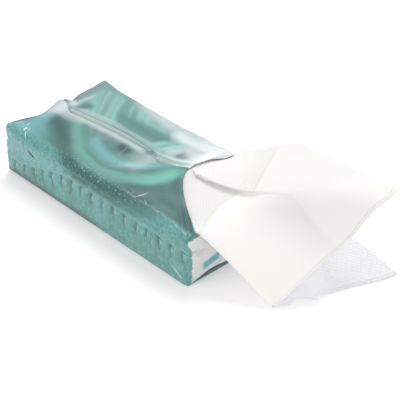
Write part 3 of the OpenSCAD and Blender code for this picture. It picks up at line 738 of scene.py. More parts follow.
@dataclass(frozen=True)
class PaperFinish:
    """Soft white tissue with embossed dots, painted shade between them and, on request, a warm cross fold."""

    name: str = "tissue_paper"
    warm: Colour = srgb(250, 249, 245)
    cool: Colour = srgb(243, 243, 248)
    fold: Colour = srgb(240, 236, 224)
    shade: Colour = srgb(168, 168, 174)
    # Colours of the painted glow that stands in for light let through the paper
    through: Colour = (0.9, 0.9, 0.92)
    faint_glow: Colour = (0.55, 0.55, 0.52)
    roughness: float = 0.92
    gloss: float = 0.15
    glow: float = 0.1
    dot_depth: float = 0.16
    pitch: float = 1.6
    painted: tuple[str, ...] = ("dots", "cool", "fold", "line", "dim")

    def build(self) -> bpy.types.Material:
        """Makes the material of a mesh with painted values; low down a painted glow stands for light let
        through.
        """
        bench = Bench.for_material(self.name)
        u, v = bench.uv_mm()
        dots, cool, fold, line, dim = (bench.attribute(key) for key in self.painted)
        turns = 2 * math.pi / self.pitch
        wave = (u * turns).sine() * (v * turns).sine()
        raised = bench.rise(wave, 0.05, 0.75)
        fibre = bench.cloud(bench.joined(u, v), 0.35, 3.0, 0.6)
        colour = bench.mixed(cool, self.warm, self.cool)
        colour = bench.mixed(fold * 0.9, colour, self.fold)
        # Painted shade in the hollows between the embossed dots
        colour = bench.mixed(dots * (1 - raised) * (0.05 + cool * 0.1), colour, self.shade)
        # Darker lines along the free edge, and painted shade on the lapped and hollow parts
        colour = bench.mixed(line * 0.3 + dim * 0.2, colour, self.shade)
        height = raised * dots * 0.8 + fibre * 0.16
        _, _, z = bench.object_mm()
        # Painted glow low on the sheet, which stands in for light let through the thin paper
        low_glow = bench.mixed(bench.rise(32 - z, 0.0, 22.0), (0.0, 0.0, 0.0), self.faint_glow)
        return bench.finish({
            "Base Color": colour,
            "Emission Color": bench.mixed(cool * (1 - dots * 0.9), low_glow, self.through),
            "Emission Strength": self.glow,
            "Roughness": self.roughness,
            "Specular IOR Level": self.gloss,
            "Normal": bench.relief(height, self.dot_depth),
        })


@dataclass(frozen=True)
class StackFinish:
    """The folded tissues inside: plain tissue read by place, with fibres along the layers."""

    colour: Colour = srgb(244, 244, 242)
    shade: Colour = srgb(226, 227, 228)
    roughness: float = 0.95
    gloss: float = 0.15
    fibre_depth: float = 0.05

    def build(self) -> bpy.types.Material:
        """Makes the material."""
        bench = Bench.for_material("folded_paper")
        x, y, z = bench.object_mm()
        fibre = bench.cloud(bench.joined(x, y, z), 0.5, 3.0, 0.6)
        patch = bench.cloud(bench.joined(x, y, z * 3), 6.0, 2.0)
        colour = bench.mixed(bench.rise(patch, 0.35, 0.7), self.colour, self.shade)
        return bench.finish({
            "Base Color": colour,
            "Roughness": self.roughness,
            "Specular IOR Level": self.gloss,
            "Normal": bench.relief(fibre, self.fibre_depth),
        })


@dataclass(frozen=True)
class PackSizes:
    """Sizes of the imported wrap, in millimetres, taken from the frame where it gives them."""

    half_l: float
    half_w: float
    top_z: float
    edge_r: float = 4.4
    hem: float = 0.4
    film_t: float = 0.15
    swell: float = 0.4
    highest_rise: float = 1.5
    slit_start: float = 8.6
    slit_length: float = 52.4
    slit_gap: float = 3.0
    closed_gap: float = 0.8
    valley_gap: float = 2.6
    mouth_depth: float = 35.0
    mouth_y: float = 8.0
    near_rim: float = 5.3
    far_rim: float = 2.9
    sill_drop: float = 2.6
    ring_edge: float = 0.8

    @classmethod
    def from_frame(cls) -> "PackSizes":
        """Reads the wrap's half length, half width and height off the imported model."""
        _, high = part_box("film_wrap")
        top_z = high[2] / MM - cls.highest_rise
        return cls(half_l=high[0] / MM, half_w=high[1] / MM - cls.swell, top_z=top_z)

    @property
    def mouth_x(self) -> float:
        """Place of the mouth's deepest point along the length."""
        return self.half_l - self.mouth_depth

    @property
    def seam_stations(self) -> list[tuple[float, float]]:
        """Stations of the slit and of the closed seam at its ends."""
        return [
            (-55.0, 3.2), (-51.0, 2.4), (-46.4, 0.2), (-42.0, -0.6), (-35.0, 0.3), (-20.0, 2.1), (-10.0, 2.8),
            (0.0, 2.8), (6.0, 2.6), (14.0, 4.2), (self.mouth_x, self.mouth_y)]

    def seam_y(self, x: float) -> float:
        """Course of the slit and of the closed seam at its ends."""
        return along(x, self.seam_stations)

    def slit_open(self, x: float) -> float:
        """How far the slit is open at a place, from 0 at its ends to 1."""
        start = -self.half_l + self.slit_start
        return ramp((x - start) / 4) * ramp((start + self.slit_length - x) / 14)

    def lip_gap(self, x: float) -> float:
        """Width between the two lips, widest left of the middle."""
        t = max(0.0, min(1.0, (x + self.half_l - self.slit_start) / self.slit_length))
        open_share = min(1.0, t * 12) ** 0.5 * (1 - t ** 4) * (1 - ramp((t - 0.68) / 0.32))
        shut = lerp(self.closed_gap, self.valley_gap, ramp((x - 4) / 10))
        return lerp(shut, self.slit_gap, open_share)

    def near_lip_y(self, x: float) -> float:
        """The near lip of the slit, and beyond it the near edge of the mouth."""
        t = max(0.0, min(1.0, (x - self.mouth_x) / (self.half_l - self.ring_edge - self.mouth_x)))
        return lerp(self.seam_y(x) - self.lip_gap(x) / 2, self.near_rim - self.half_w, t ** 0.65)

    def far_lip_y(self, x: float) -> float:
        """The far lip of the slit, and beyond it the far edge of the mouth."""
        if x <= self.mouth_x:
            return self.seam_y(x) + self.lip_gap(x) / 2
        return along(x - self.mouth_x, [
            (0.0, self.mouth_y + self.lip_gap(x) / 2), (0.7, 12.5), (1.6, 16.2), (3.6, 18.5), (6.0, 20.4),
            (7.4, 23.0), (8.6, self.half_w - 2.2)])

    def near_lip_rise(self, x: float) -> float:
        """How far the near lip stands above the flat top."""
        return along(x, [
            (-55.0, 0.7), (-50.0, 1.2), (-42.0, 1.4), (-20.0, 1.4), (2.0, 1.0), (10.0, 0.3), (20.0, 0.2),
            (28.0, 0.2), (40.0, 0.1), (48.0, -0.1), (52.0, -0.5), (55.0, -0.9)])

    def far_lip_rise(self, x: float) -> float:
        """How far the far lip stands above the flat top."""
        return along(x, [
            (-55.0, 0.3), (-48.0, 0.9), (-20.0, 0.9), (2.0, 0.7), (10.0, 0.0), (20.0, -0.6), (22.0, -0.2),
            (26.0, 1.0), (27.6, 1.9), (29.5, 1.2), (32.0, 0.1)])

    def rim_rise(self, x: float, side: int) -> float:
        """How much higher the far half stands before the mouth."""
        if side < 0:
            return 0.0
        return along(x, [(-6.0, 0.0), (4.0, 0.7), (12.0, 1.0), (19.0, 0.9), (25.0, 0.3), (30.0, 0.0)])

    def edge_radius(self, x: float, side: int) -> float:
        """Radius of the top's rounded long edge, tighter at the ends and along the mouth's far side."""
        end = lerp(1.2, self.edge_r, ramp((x + self.half_l) / 14))
        if side < 0:
            return lerp(end, 3.0, ramp((x - 35) / 18))
        return lerp(end * 0.7, 1.4, ramp((x - 12) / 12))


class Face(Enum):
    """Which stretch of a ring a column of the wrap's mesh lies on."""

    TOP = "top"
    EDGE = "edge"
    WALL = "wall"
    HEM = "hem"
    BOTTOM = "bottom"
    SEAM = "seam"


SEAM_SHARES = (0.15, 0.35, 0.6, 0.8, 1.0)


@dataclass(frozen=True)
class Column:
    """One column of the wrap's mesh: its side, its stretch and its share of that stretch."""

    side: int
    face: Face
    share: float


@dataclass(frozen=True)
class Spot:
    """Where a point of the wrap's mesh lies: its row, its number in the row and its column."""

    row: int
    number: int
    column: Column


@dataclass
class FilmWrap:
    """The printed film wrap, one shell with a slit, a mouth and gathered walls."""

    pack: PackSizes
    finish: FilmFinish = field(default_factory=FilmFinish)
    cap_rows: int = 12
    main_rows: int = 258
    panel_rows: int = 20
    gather_pitch: float = GATHER_PITCH
    gather_depth: float = 0.9
    end_inset: float = 0.7
    merge_gap: float = 0.004

    @property
    def rows(self) -> int:
        """Rows of cells from the middle of the closed end to the panel's free edge."""
        return self.cap_rows + self.main_rows + self.panel_rows

    def columns(self) -> list[Column]:
        """The columns of one ring, from the near lip round the bottom to the far lip and the seam."""
        plan = [(Face.TOP, 38), (Face.EDGE, 9), (Face.WALL, 38), (Face.HEM, 3), (Face.BOTTOM, 3)]
        far_plan = [(Face.TOP, 32), (Face.EDGE, 6), (Face.WALL, 14), (Face.HEM, 2), (Face.BOTTOM, 3)]
        near = [Column(-1, face, n / count) for face, count in plan for n in range(count)]
        far = [Column(1, face, n / count) for face, count in far_plan for n in range(count)]
        far.append(Column(1, Face.BOTTOM, 1.0))
        seam = [Column(1, Face.SEAM, share) for share in SEAM_SHARES]
        return near + list(reversed(far)) + seam

    def gather_top(self, x: float) -> float:
        """Height of the gathers' upper ends."""
        return lerp(7.5, 15.6, ramp((x + self.pack.half_l - 6) / 38))

    def gather_phase(self, x: float, z: float, side: int) -> float:
        """Number of the nearest gather, with the place between two of them as its fraction."""
        lean = 0.9 * noise.noise(Vector((x * 0.13, z * 0.21, 5.0 * side)))
        return (x + 1.0 + lean) / (self.gather_pitch * lerp(0.965, 1.04, ramp((x + 24) / 40)))

    def groove(self, x: float, z: float, side: int) -> float:
        """Depth share of the gathers at a place of a long wall, from 0 to 1."""
        phase = self.gather_phase(x, z, side)
        number = round(phase)
        away = abs(phase - number) * self.gather_pitch
        strength = 0.75 + 0.45 * noise.noise(Vector((number * 1.7, side * 3.0, 2.0)))
        top = self.gather_top(x) + 0.5 * noise.noise(Vector((number * 2.3, 9.0, side)))
        length = lerp(4.5, 8.5, ramp((x + 45) / 40)) * (0.8 + 0.3 * math.sin(number * 2.1))
        upper = 1 - ramp((z - top + 0.4) / 1.0)
        lower = 1 - ramp((top - 2.0 - z) / length)
        width = lerp(0.95, 0.5, ramp((top - z) / 4))
        return strength * bump(away, width) * upper * lower

    def ledge(self, x: float, z: float) -> float:
        """The film bellies out a little just above the gathers and between them."""
        top = self.gather_top(x)
        puff = 0.5 - 0.5 * math.cos(2 * math.pi * (x + 1.0) / self.gather_pitch)
        above = 0.30 * bump(z - top - 1.3, 1.3)
        between = 0.28 * puff * bump(z - top + 2.2, 2.6)
        return above + between - 0.18 * bump(z - top, 0.5)

    def top_height(self, x: float, share: float, side: int) -> float:
        """Height of the top film at a place, from the lip (share 0) to the rounded edge (share 1)."""
        p = self.pack
        if side < 0:
            crown = p.near_lip_rise(x) * ((1 - share) ** 1.7)
            curl = -0.4 * bump(share, 0.035) * (1 - ramp((x - p.mouth_x) / 4))
            hollow = 1.6 * (1 - ramp((x + p.half_l) / 10)) * bump(share - 0.31, 0.2)
            return p.top_z + crown + curl - hollow
        fall = -0.15 * max(0.0, -48.5 - x) * ramp(share * 4) * ramp((1 - share) * 3)
        beside_slit = 0.35 * bump(share - 0.3, 0.25) * ramp((4 - x) / 12)
        return p.top_z + p.rim_rise(x, side) + p.far_lip_rise(x) * ((1 - share) ** 1.3) + fall - beside_slit

    def closed_end(self, x: float, y: float) -> tuple[float, float]:
        """How far the closed end's upper rim is drawn in along X and sunk along Z at a place."""
        near = 1 - ramp((x + self.pack.half_l) / 9)
        hollow = bump(y + 13.0, 6.5)
        notch = bump(y - 7.0, 2.6)
        return near * (2.2 * hollow + 2.6 * notch), near * (0.5 * hollow + 0.9 * notch)

    def ring_point(self, x: float, column: Column) -> tuple[float, float, float]:
        """Place of one column's point on the ring at x, and its unrolled coordinate.

        Args:
            x: the ring's place along the length.
            column: the column.

        Returns:
            y, z and the unrolled coordinate, in millimetres.
        """
        if column.face is Face.SEAM:
            return self.seam_point(x, column.share)
        p, side, t = self.pack, column.side, column.share
        open_end = (1 - min(1.0, (p.half_l - x) / 4)) ** 2
        w = p.half_w - self.end_inset * open_end
        radius = p.edge_radius(x, side)
        arc = math.pi / 2 * radius
        wall_top = p.top_z + p.rim_rise(x, side) - radius
        edge_s = p.half_w - radius
        lip_y = p.near_lip_y(x) if side < 0 else p.far_lip_y(x)
        if column.face is Face.TOP:
            y = lerp(lip_y, side * (w - radius), t)
            return y, self.top_height(x, t, side), y
        if column.face is Face.EDGE:
            angle = t * math.pi / 2
            y = side * (w - radius + radius * math.sin(angle))
            return y, wall_top + radius * math.cos(angle), side * (edge_s + arc * t)
        if column.face is Face.WALL:
            z = lerp(wall_top, p.hem, t)
            out = p.swell * (1 - abs(2 * z / p.top_z - 1) ** 3)
            out += self.ledge(x, z) * ramp((p.half_l - abs(x)) / 5)
            out -= self.gather_depth * self.groove(x, z, side)
            return side * (w + out), z, side * (edge_s + arc + wall_top - z)
        wall_end = edge_s + arc + wall_top - p.hem
        if column.face is Face.HEM:
            return side * (w - p.hem * t), p.hem * (1 - t), side * (wall_end + 1.4 * p.hem * t)
        y = side * lerp(w - p.hem, 0.0, t)
        return y, 0.0, side * (wall_end + 1.4 * p.hem + w - abs(y))

    def seam_point(self, x: float, t: float) -> tuple[float, float, float]:
        """Place between the far lip (t 0) and the near one (t 1), where the far lip curls into the slit."""
        near_y, near_z, _ = self.ring_point(x, Column(-1, Face.TOP, 0.0))
        far_y, far_z, s = self.ring_point(x, Column(1, Face.TOP, 0.0))
        curled = self.pack.slit_open(x)
        closed_z = lerp(far_z, near_z, t) - lerp(0.5, 0.1, ramp((x - 2) / 8)) * math.sin(math.pi * t)
        if t >= 1.0:
            return near_y, closed_z, s
        rolled = min(t / 0.8, 1.0)
        across = lerp(t, 0.72 * rolled, curled)
        curled_z = far_z - 1.3 * rolled ** 1.4
        return lerp(far_y, near_y, across), lerp(closed_z, curled_z, curled), s

    def main_point(self, row: int, column: Column) -> tuple[Vector, float]:
        """Place and unrolled coordinate on a ring between the two ends."""
        p = self.pack
        x = lerp(-p.half_l + p.ring_edge, p.half_l - p.ring_edge, row / self.main_rows)
        y, z, s = self.ring_point(x, column)
        x -= 0.5 * (1 - ramp((x + p.half_l) / 5)) * ramp((0 - y - 10) / 8)
        if column.side < 0:
            x += 1.2 * bump(z - 16.4, 1.0) * (1 - ramp((x + p.half_l) / 4)) * ramp((0 - y - 18) / 6)
        if z > p.top_z / 2:
            pull, sink = self.closed_end(x, y)
            high = ramp((z - p.top_z / 2) / (p.top_z / 2))
            return Vector((x + pull * high, y, z - sink * high)), s
        return Vector((x, y, z)), s

    def cap_point(self, share: float, column: Column) -> tuple[Vector, float]:
        """Place on the closed end's panel, from its centre (share 0) to the first ring (share 1)."""
        p = self.pack
        rim, s = self.main_point(0, column)
        centre = Vector((-p.half_l - 0.2, 0.0, p.top_z * 0.48))
        here = centre.lerp(rim, share)
        here.x = lerp(-p.half_l - 0.25, rim.x, share ** 7)
        fold = abs(abs(here.y) - 1.1 * abs(here.z - p.top_z * 0.48) - p.half_w + 14)
        here.x += 0.45 * bump(fold, 0.7) * (1 - share ** 6) * ramp(share * 3)
        return here, s

    def rim_height(self, y: float) -> float:
        """Height just under the top film at the open end."""
        p = self.pack
        side = -1 if y < 0 else 1
        x = p.half_l - p.ring_edge
        radius = p.edge_radius(x, side)
        shoulder = p.half_w - self.end_inset - radius
        beyond = abs(y) - shoulder
        if beyond > 0:
            return p.top_z - radius + math.sqrt(max(0.0, radius * radius - beyond * beyond)) - 0.1
        lip = abs(p.near_lip_y(x) if side < 0 else p.far_lip_y(x))
        share = max(0.0, min(1.0, (abs(y) - lip) / max(0.1, shoulder - lip)))
        return self.top_height(x, share, side) - 0.1

    def panel_point(self, share: float, column: Column, run: float) -> tuple[Vector, float]:
        """Place on the open end's panel.

        Args:
            share: 0 at the last ring, 1 at the panel's free edge.
            column: the column.
            run: the column's share of the way from the near top edge to the far one.

        Returns:
            The place and the unrolled coordinate.
        """
        p = self.pack
        rim, s = self.main_point(self.main_rows, column)
        near, _ = self.main_point(self.main_rows, Column(-1, Face.EDGE, 0.5))
        far, _ = self.main_point(self.main_rows, Column(1, Face.EDGE, 0.5))
        sill_y = lerp(near.y, far.y, run)
        lift = along(sill_y, [
            (-24.0, 3.2), (-21.4, 2.6), (-20.2, 1.5), (-18.4, 0.4), (-16.5, 0.0), (19.0, 0.0), (22.0, 0.8),
            (24.4, 2.4)])
        sill_z = min(p.top_z - p.sill_drop + lift, self.rim_height(sill_y))
        y, z = lerp(rim.y, sill_y, share), lerp(rim.z, sill_z, share)
        x = p.half_l - p.ring_edge * (1 - min(1.0, share * 4)) ** 2
        inner = ramp((min(run, 1 - run) - 0.07) * 12) * ramp(share * 5)
        roll = 18.6 - 0.22 * min(10.0, abs(y + p.half_w))
        x += 1.0 * inner * bump(z - roll, 2.0) - 0.5 * inner * bump(z - roll + 3.0, 0.8)
        x += 0.35 * inner * noise.noise(Vector((y * 0.35, z * 0.5, 4.0)))
        x -= 0.9 * ramp((z - sill_z + 0.9) / 0.9) * inner
        lip = abs(p.near_lip_y(p.half_l) if sill_y < 0 else p.far_lip_y(p.half_l))
        corner = ramp((abs(sill_y) - lip + 1.2) / 1.2) * ramp((share - 0.5) / 0.5)
        x = lerp(x, p.half_l - p.ring_edge - 0.1, corner)
        return Vector((x, y, z)), s

    def is_open(self, x: float, before_near_lip: int) -> bool:
        """Whether a cell of the seam is left out because the slit or the mouth is there.

        Args:
            x: the cell's place along the length.
            before_near_lip: the number of columns from the cell's first corner to the near lip.

        Returns:
            True where the film is open.
        """
        p = self.pack
        start = -p.half_l + p.slit_start
        in_slit = start < x < start + p.slit_length
        in_mouth = x > p.mouth_x and before_near_lip <= len(SEAM_SHARES) + 1
        return (in_slit and before_near_lip <= 2) or in_mouth

    def crumple(self, here: Vector, column: Column) -> float:
        """How far the film stands out of its smooth form at a place."""
        p = self.pack
        if here.z < 0.6:
            return 0.0
        closed = 0.45 * (1 - ramp((here.x + p.half_l) / 14)) * ramp((p.top_z - here.z - 1) / 4)
        shoulder = 0.25 * bump(here.z - p.top_z + 3.5, 3.2) * ramp((abs(here.y) - p.half_w + 8) / 5)
        pleats = 0.0
        if column.side < 0 and column.face in (Face.TOP, Face.EDGE):
            near = bump(here.x - p.half_l + 4, 9.0) * ramp((here.x - 28) / 12)
            lip = here.y - p.near_lip_y(here.x)
            pleats = near * 0.35 * math.sin(lip * 2.6 + here.x * 0.25) * bump(lip + 1.5, 3.5)
        rough = noise.noise(Vector((here.x * 0.42, here.y * 0.42, here.z * 0.42)))
        sharp = 0.5 - abs(noise.noise(Vector((here.x * 0.27, here.y * 0.3, here.z * 0.3 + 11))))
        low = ramp((here.z - 0.6) / 2.5)
        wave = 0.14 * noise.noise(Vector((here.x * 0.09, here.y * 0.12, 3.0)))
        film = closed * (0.45 * rough + 0.55 * sharp) + shoulder * (0.22 * rough + 0.25 * sharp) + wave
        return low * film + pleats

    def crease(self, here: Vector, column: Column) -> float:
        """How much shade is painted at a place: along the slit's edges and in the gathers' grooves."""
        if column.face is Face.SEAM:
            return self.pack.slit_open(here.x) * (0.6 if column.share >= 0.8 else 0.0)
        if column.face is Face.TOP and column.side > 0 and column.share == 0.0:
            return 0.45 * self.pack.slit_open(here.x)
        if column.face is Face.WALL:
            return 0.35 * self.groove(here.x, here.z, column.side)
        return 0.0

    def curl(self, here: Vector, column: Column) -> float:
        """1 on the strip of the far lip that curls down into the slit."""
        return self.pack.slit_open(here.x) if column.face is Face.SEAM else 0.0

    def painted(self, here: Vector, column: Column) -> dict[str, float]:
        """The values that the finish reads at a place."""
        return {
            "crease": self.crease(here, column),
            "phase": self.gather_phase(here.x, here.z, column.side),
            "over": (here.z - self.gather_top(here.x)) / OVER_MM,
            "curl": self.curl(here, column),
        }

    def panel_span(self, columns: list[Column]) -> tuple[int, int]:
        """Numbers of the columns between which the open end's panel hangs."""
        rounded = [n for n, column in enumerate(columns) if column.face is Face.EDGE and column.share >= 0.5]
        return min(n for n in rounded if columns[n].side < 0), max(n for n in rounded if columns[n].side > 0)

    def lay_out(self, mesh: bmesh.types.BMesh, columns: list[Column]) -> dict[bmesh.types.BMVert, Spot]:
        """Moves the points of a flat grid to their places on the wrap and unrolls its print.

        Args:
            mesh: a flat grid from -1 to 1 with a print layer, a row for each ring.
            columns: the columns of one ring.

        Returns:
            Where each point lies in the grid.
        """
        width = len(columns)
        first, last = self.panel_span(columns)
        spots: dict[bmesh.types.BMVert, Spot] = {}
        unrolled: dict[bmesh.types.BMVert, tuple[float, float]] = {}
        for vert in mesh.verts:
            row = round((vert.co.x + 1) / 2 * self.rows)
            number = round((vert.co.y + 1) / 2 * width)
            column = columns[number % width]
            ring = row - self.cap_rows
            if ring < 0:
                place, s = self.cap_point(row / self.cap_rows, column)
            elif ring <= self.main_rows:
                place, s = self.main_point(ring, column)
            else:
                run = max(0.0, min(1.0, (number - first) / (last - first)))
                place, s = self.panel_point((ring - self.main_rows) / self.panel_rows, column, run)
            vert.co = place
            spots[vert] = Spot(row, number, column)
            unrolled[vert] = (place.x / UV_MM, s / UV_MM)
        uv = mesh.loops.layers.uv.active
        for face in mesh.faces:
            for loop in face.loops:
                loop[uv].uv = unrolled[loop.vert]
        return spots

    def open_up(
        self, mesh: bmesh.types.BMesh, columns: list[Column], spots: dict[bmesh.types.BMVert, Spot]
    ) -> None:
        """Deletes the cells of the slit, of the mouth and beside the open end's panel."""
        first, last = self.panel_span(columns)
        doomed = []
        for face in mesh.faces:
            ring = min(spots[vert].row for vert in face.verts) - self.cap_rows
            number = min(spots[vert].number for vert in face.verts)
            x = sum(vert.co.x for vert in face.verts) / 4
            beside_panel = ring >= self.main_rows and not first <= number < last
            if beside_panel or (ring >= 0 and self.is_open(x, len(columns) - number)):
                doomed.append(face)
        bmesh.ops.delete(mesh, geom=doomed, context="FACES")

    def crumple_all(self, mesh: bmesh.types.BMesh, spots: dict[bmesh.types.BMVert, Spot]) -> None:
        """Crumples the whole wrap apart from the open end's panel."""
        mesh.normal_update()
        moves = []
        for vert in mesh.verts:
            spot = spots[vert]
            depth = self.crumple(vert.co, spot.column)
            if spot.row < self.cap_rows:
                moves.append((vert, Vector((-0.6 * abs(depth), 0.0, 0.0))))
            elif spot.row <= self.cap_rows + self.main_rows:
                moves.append((vert, vert.normal * depth))
        for vert, move in moves:
            vert.co += move

    def build(self) -> bpy.types.Object:
        """Makes the wrap's mesh.

        Returns:
            The object, with its print's coordinates and the shade painted into its creases.
        """
        columns = self.columns()
        mesh = bmesh.new()
        bmesh.ops.create_grid(mesh, x_segments=self.rows, y_segments=len(columns), size=1.0)
        mesh.loops.layers.uv.new("unrolled")
        layers = {key: mesh.verts.layers.float.new(key) for key in self.finish.painted}
        spots = self.lay_out(mesh, columns)
        self.open_up(mesh, columns, spots)
        for vert in mesh.verts:
            for key, value in self.painted(vert.co, spots[vert].column).items():
                vert[layers[key]] = value
        self.crumple_all(mesh, spots)
        bmesh.ops.remove_doubles(mesh, verts=mesh.verts, dist=self.merge_gap)
        bmesh.ops.recalc_face_normals(mesh, faces=mesh.faces)
        thicken(mesh, self.pack.film_t)
        bmesh.ops.transform(mesh, matrix=SCALE_TO_METRES, verts=mesh.verts)
        return as_object(mesh, "film_shell", self.finish.build(self.pack))


@dataclass
class DrawnTissue:
    """The tissue drawn halfway out: one folded sheet, open like a book beyond the mouth.

    Lengths are in millimetres, apart from flat, the sheet's size when it is unfolded, which is in metres.
    """

    pack: PackSizes
    finish: PaperFinish = field(default_factory=PaperFinish)
    rows: int = 190
    lower_points: int = 66
    bend_points: int = 8
    upper_points: int = 110
    column_step: float = 0.52
    row_span: float = 110.0
    thickness: float = 0.62
    fold_r: float = 0.45
    tail_x: float = -7.4
    tail_half_w: float = 24.15
    tail_low: float = 20.33
    leaf_height: float = 40.0
    reach: float = 31.5
    lead: float = 16.5
    far_y: float = 34.0
    flat: tuple[float, float] = (0.101, 0.101)

    @property
    def fold_course(self) -> list[Point]:
        """Stations of the lengthwise fold, from the tail to its tip."""
        p = self.pack
        bend_z = self.tail_low + self.fold_r
        inner_y = -self.tail_half_w + self.fold_r
        sill = (p.half_l, -p.half_w + p.near_rim + 2.1, bend_z)
        tip = (p.half_l + self.reach, -11.5, self.fold_r + 0.51)
        first = Vector(sill).lerp(Vector(tip), 0.34)
        second = Vector(sill).lerp(Vector(tip), 0.67)
        return [
            (self.tail_x, inner_y, bend_z),
            (lerp(self.tail_x, p.mouth_x, 0.5), inner_y, bend_z),
            (p.mouth_x, inner_y, bend_z),
            (p.mouth_x + 10, -self.tail_half_w + 1, bend_z),
            (lerp(p.mouth_x + 10, p.half_l, 0.5), -p.half_w + p.near_rim - 0.4, bend_z),
            sill,
            (first.x, first.y, first.z + 0.8),
            (second.x, second.y, second.z + 0.4),
            tip,
        ]

    @property
    def upper_course(self) -> list[Point]:
        """Stations of the upper leaf's far edge."""
        p = self.pack
        high = self.tail_low + 2 * self.fold_r
        tip_x = p.half_l + self.reach + self.lead
        return [
            (self.tail_x, self.tail_half_w, high),
            (lerp(self.tail_x, p.mouth_x, 0.5), self.tail_half_w, high),
            (p.mouth_x - 1, self.tail_half_w - 1, high),
            (p.mouth_x + 6, p.half_w - p.far_rim - 1.6, high + 0.6),
            (p.mouth_x + 13, p.half_w - 2, lerp(high, self.leaf_height, 0.34)),
            (p.mouth_x + 26, p.half_w, lerp(high, self.leaf_height, 0.72)),
            (p.half_l + 2, p.half_w + 2.7, self.leaf_height + 0.5),
            (p.half_l + 25, self.far_y - 3, self.leaf_height + 0.8),
            (tip_x, self.far_y - 1.5, self.leaf_height + 1.0),
        ]

    @property
    def lower_course(self) -> list[Point]:
        """Stations of the lower leaf's far edge."""
        p = self.pack
        tip_x = p.half_l + self.reach + self.lead
        return [
            (self.tail_x, self.tail_half_w, self.tail_low),
            (lerp(self.tail_x, p.mouth_x, 0.5), self.tail_half_w, self.tail_low),
            (p.mouth_x - 1, self.tail_half_w - 1, self.tail_low),
            (p.mouth_x + 8, self.tail_half_w - 2.5, self.tail_low),
            (lerp(p.mouth_x, p.half_l, 0.6), p.half_w - p.far_rim - 2.5, self.tail_low),
            (p.half_l + 0.5, p.half_w - p.far_rim - 4.4, self.tail_low),
            (p.half_l + 15, p.half_w, self.tail_low * 0.66),
            (p.half_l + 31, self.far_y, self.tail_low * 0.36),
            (tip_x, self.far_y + 3, 0.51),
        ]

    def row_share(self, row: int) -> float:
        """Share of the length of a row: rows lie closer where the sheet shows."""
        t = row / self.rows
        return lerp(t, 1 - (1 - t) ** 1.5, 0.7)

    def valley_y(self, x: float) -> float:
        """Course of the tuck, where the far lobe of the upper leaf laps over the near one."""
        return along(x, [(20.0, 6.6), (28.0, 5.6), (36.0, 5.4), (48.0, 6.4), (56.0, 7.6), (70.0, 12.0)])

    def tuck_z(self, x: float) -> float:
        """Height of the near lobe where it dives under the far one."""
        return along(x, [(20.0, 21.3), (28.0, 21.9), (36.0, 22.8), (48.0, 24.6), (56.0, 26.4), (70.0, 29.6)])

    def share_across(self, start: Vector, far: Vector, u: float) -> float:
        """Share of the way across the upper leaf, with more rows of cells beside the tuck."""
        middle = (self.valley_y(lerp(start.x, far.x, 0.5)) - start.y) / (far.y - start.y)
        middle = max(0.25, min(0.8, middle))
        return along(u, [(0.0, 0.0), (0.4, middle - 0.035), (0.6, middle + 0.035), (1.0, 1.0)])

    def upper_point(self, start: Vector, far: Vector, u: float, t: float) -> Vector:
        """Place on the upper leaf.

        Args:
            start: where the leaf leaves the bend.
            far: its far edge in the same row.
            u: the share of the columns.
            t: the row's share of the length.

        Returns:
            The place.
        """
        p = self.pack
        v = self.share_across(start, far, u)
        out = ramp((start.x - p.half_l) / self.reach)
        y = lerp(start.y, far.y, v)
        x = lerp(start.x, far.x, v) + out * along(v, [
            (0.0, 0.0), (0.15, -0.6), (0.3, -1.1), (0.45, -0.9), (0.6, 0.0), (0.72, 1.0), (0.84, 2.0),
            (0.94, 1.4), (1.0, 0.0)])
        ridge = lerp(0.47, 0.84, ramp((x - 48) / 50))
        open_z = lerp(start.z, far.z, along(v, [
            (0.0, 0.0), (0.35 * ridge, 0.29 * ridge), (0.6 * ridge, 0.52 * ridge),
            (0.75 * ridge, 0.7 * ridge), (0.92 * ridge, 1.01 * ridge), (ridge + 0.02, ridge + 0.1),
            (1.0, 1.0)]))
        flat_to = 0.0
        if start.x < p.half_l:
            flat_to = max(0.0, min(0.8, (p.near_lip_y(start.x) + 1.6 - start.y) / (far.y - start.y)))
        valley = self.valley_y(x)
        tuck_v = max(flat_to + 0.05, min(0.85, (valley - start.y) / (far.y - start.y)))
        tuck_z = max(start.z, min(self.tuck_z(x), far.z))
        held_z = along(v, [(flat_to, start.z), (tuck_v, tuck_z), (1.0, far.z)])
        leaving = ramp((x - p.mouth_x - 1) / 6)
        if leaving < 0.01:
            held_z = lerp(lerp(start.z, far.z, v ** 1.35), held_z, leaving)
        z = lerp(held_z, open_z, ramp((x - 50) / 24))
        z += self.lobes(x, y - valley) * leaving
        y -= self.overlap(x, y - valley) * leaving
        ripple = 0.3 * noise.noise(Vector((x * 0.07, y * 0.09, 1.0))) * ramp((x - 40) / 20)
        return Vector((x - self.tip_round(v, t), y, z + ripple + 0.22 * self.cross_fold(t, u) * leaving))

    def tip_round(self, v: float, t: float) -> float:
        """How far the fold's tip is drawn back, which rounds it."""
        return 1.2 * ramp((t - 0.96) / 0.04) * (1 - ramp(v / 0.08))

    def lobes(self, x: float, away: float) -> float:
        """Height that the lap adds: the far lobe stands on the near one and falls off beyond it."""
        strength = 1 - ramp((x - 48) / 22)
        step = ramp((away + 0.2) / 0.7)
        crown = 1.0 * bump(away - 8.0, 6.5)
        dip = -0.5 * bump(away + 1.5, 2.5)
        return strength * (1.3 * step * math.exp(-max(0.0, away) / 14) + crown + dip)

    def overlap(self, x: float, away: float) -> float:
        """How far the far lobe's rounded edge hangs over the near lobe."""
        strength = 1 - ramp((x - 44) / 18)
        return 1.3 * strength * ramp((away + 0.1) / 0.9) * math.exp(-max(0.0, away - 0.9) / 5)

    def cross_fold(self, t: float, u: float) -> float:
        """How strongly the fold across the tissue shows; the lap shifts it between the two lobes."""
        return bump((t - self.fold_at(u)) * self.row_span, 0.5)

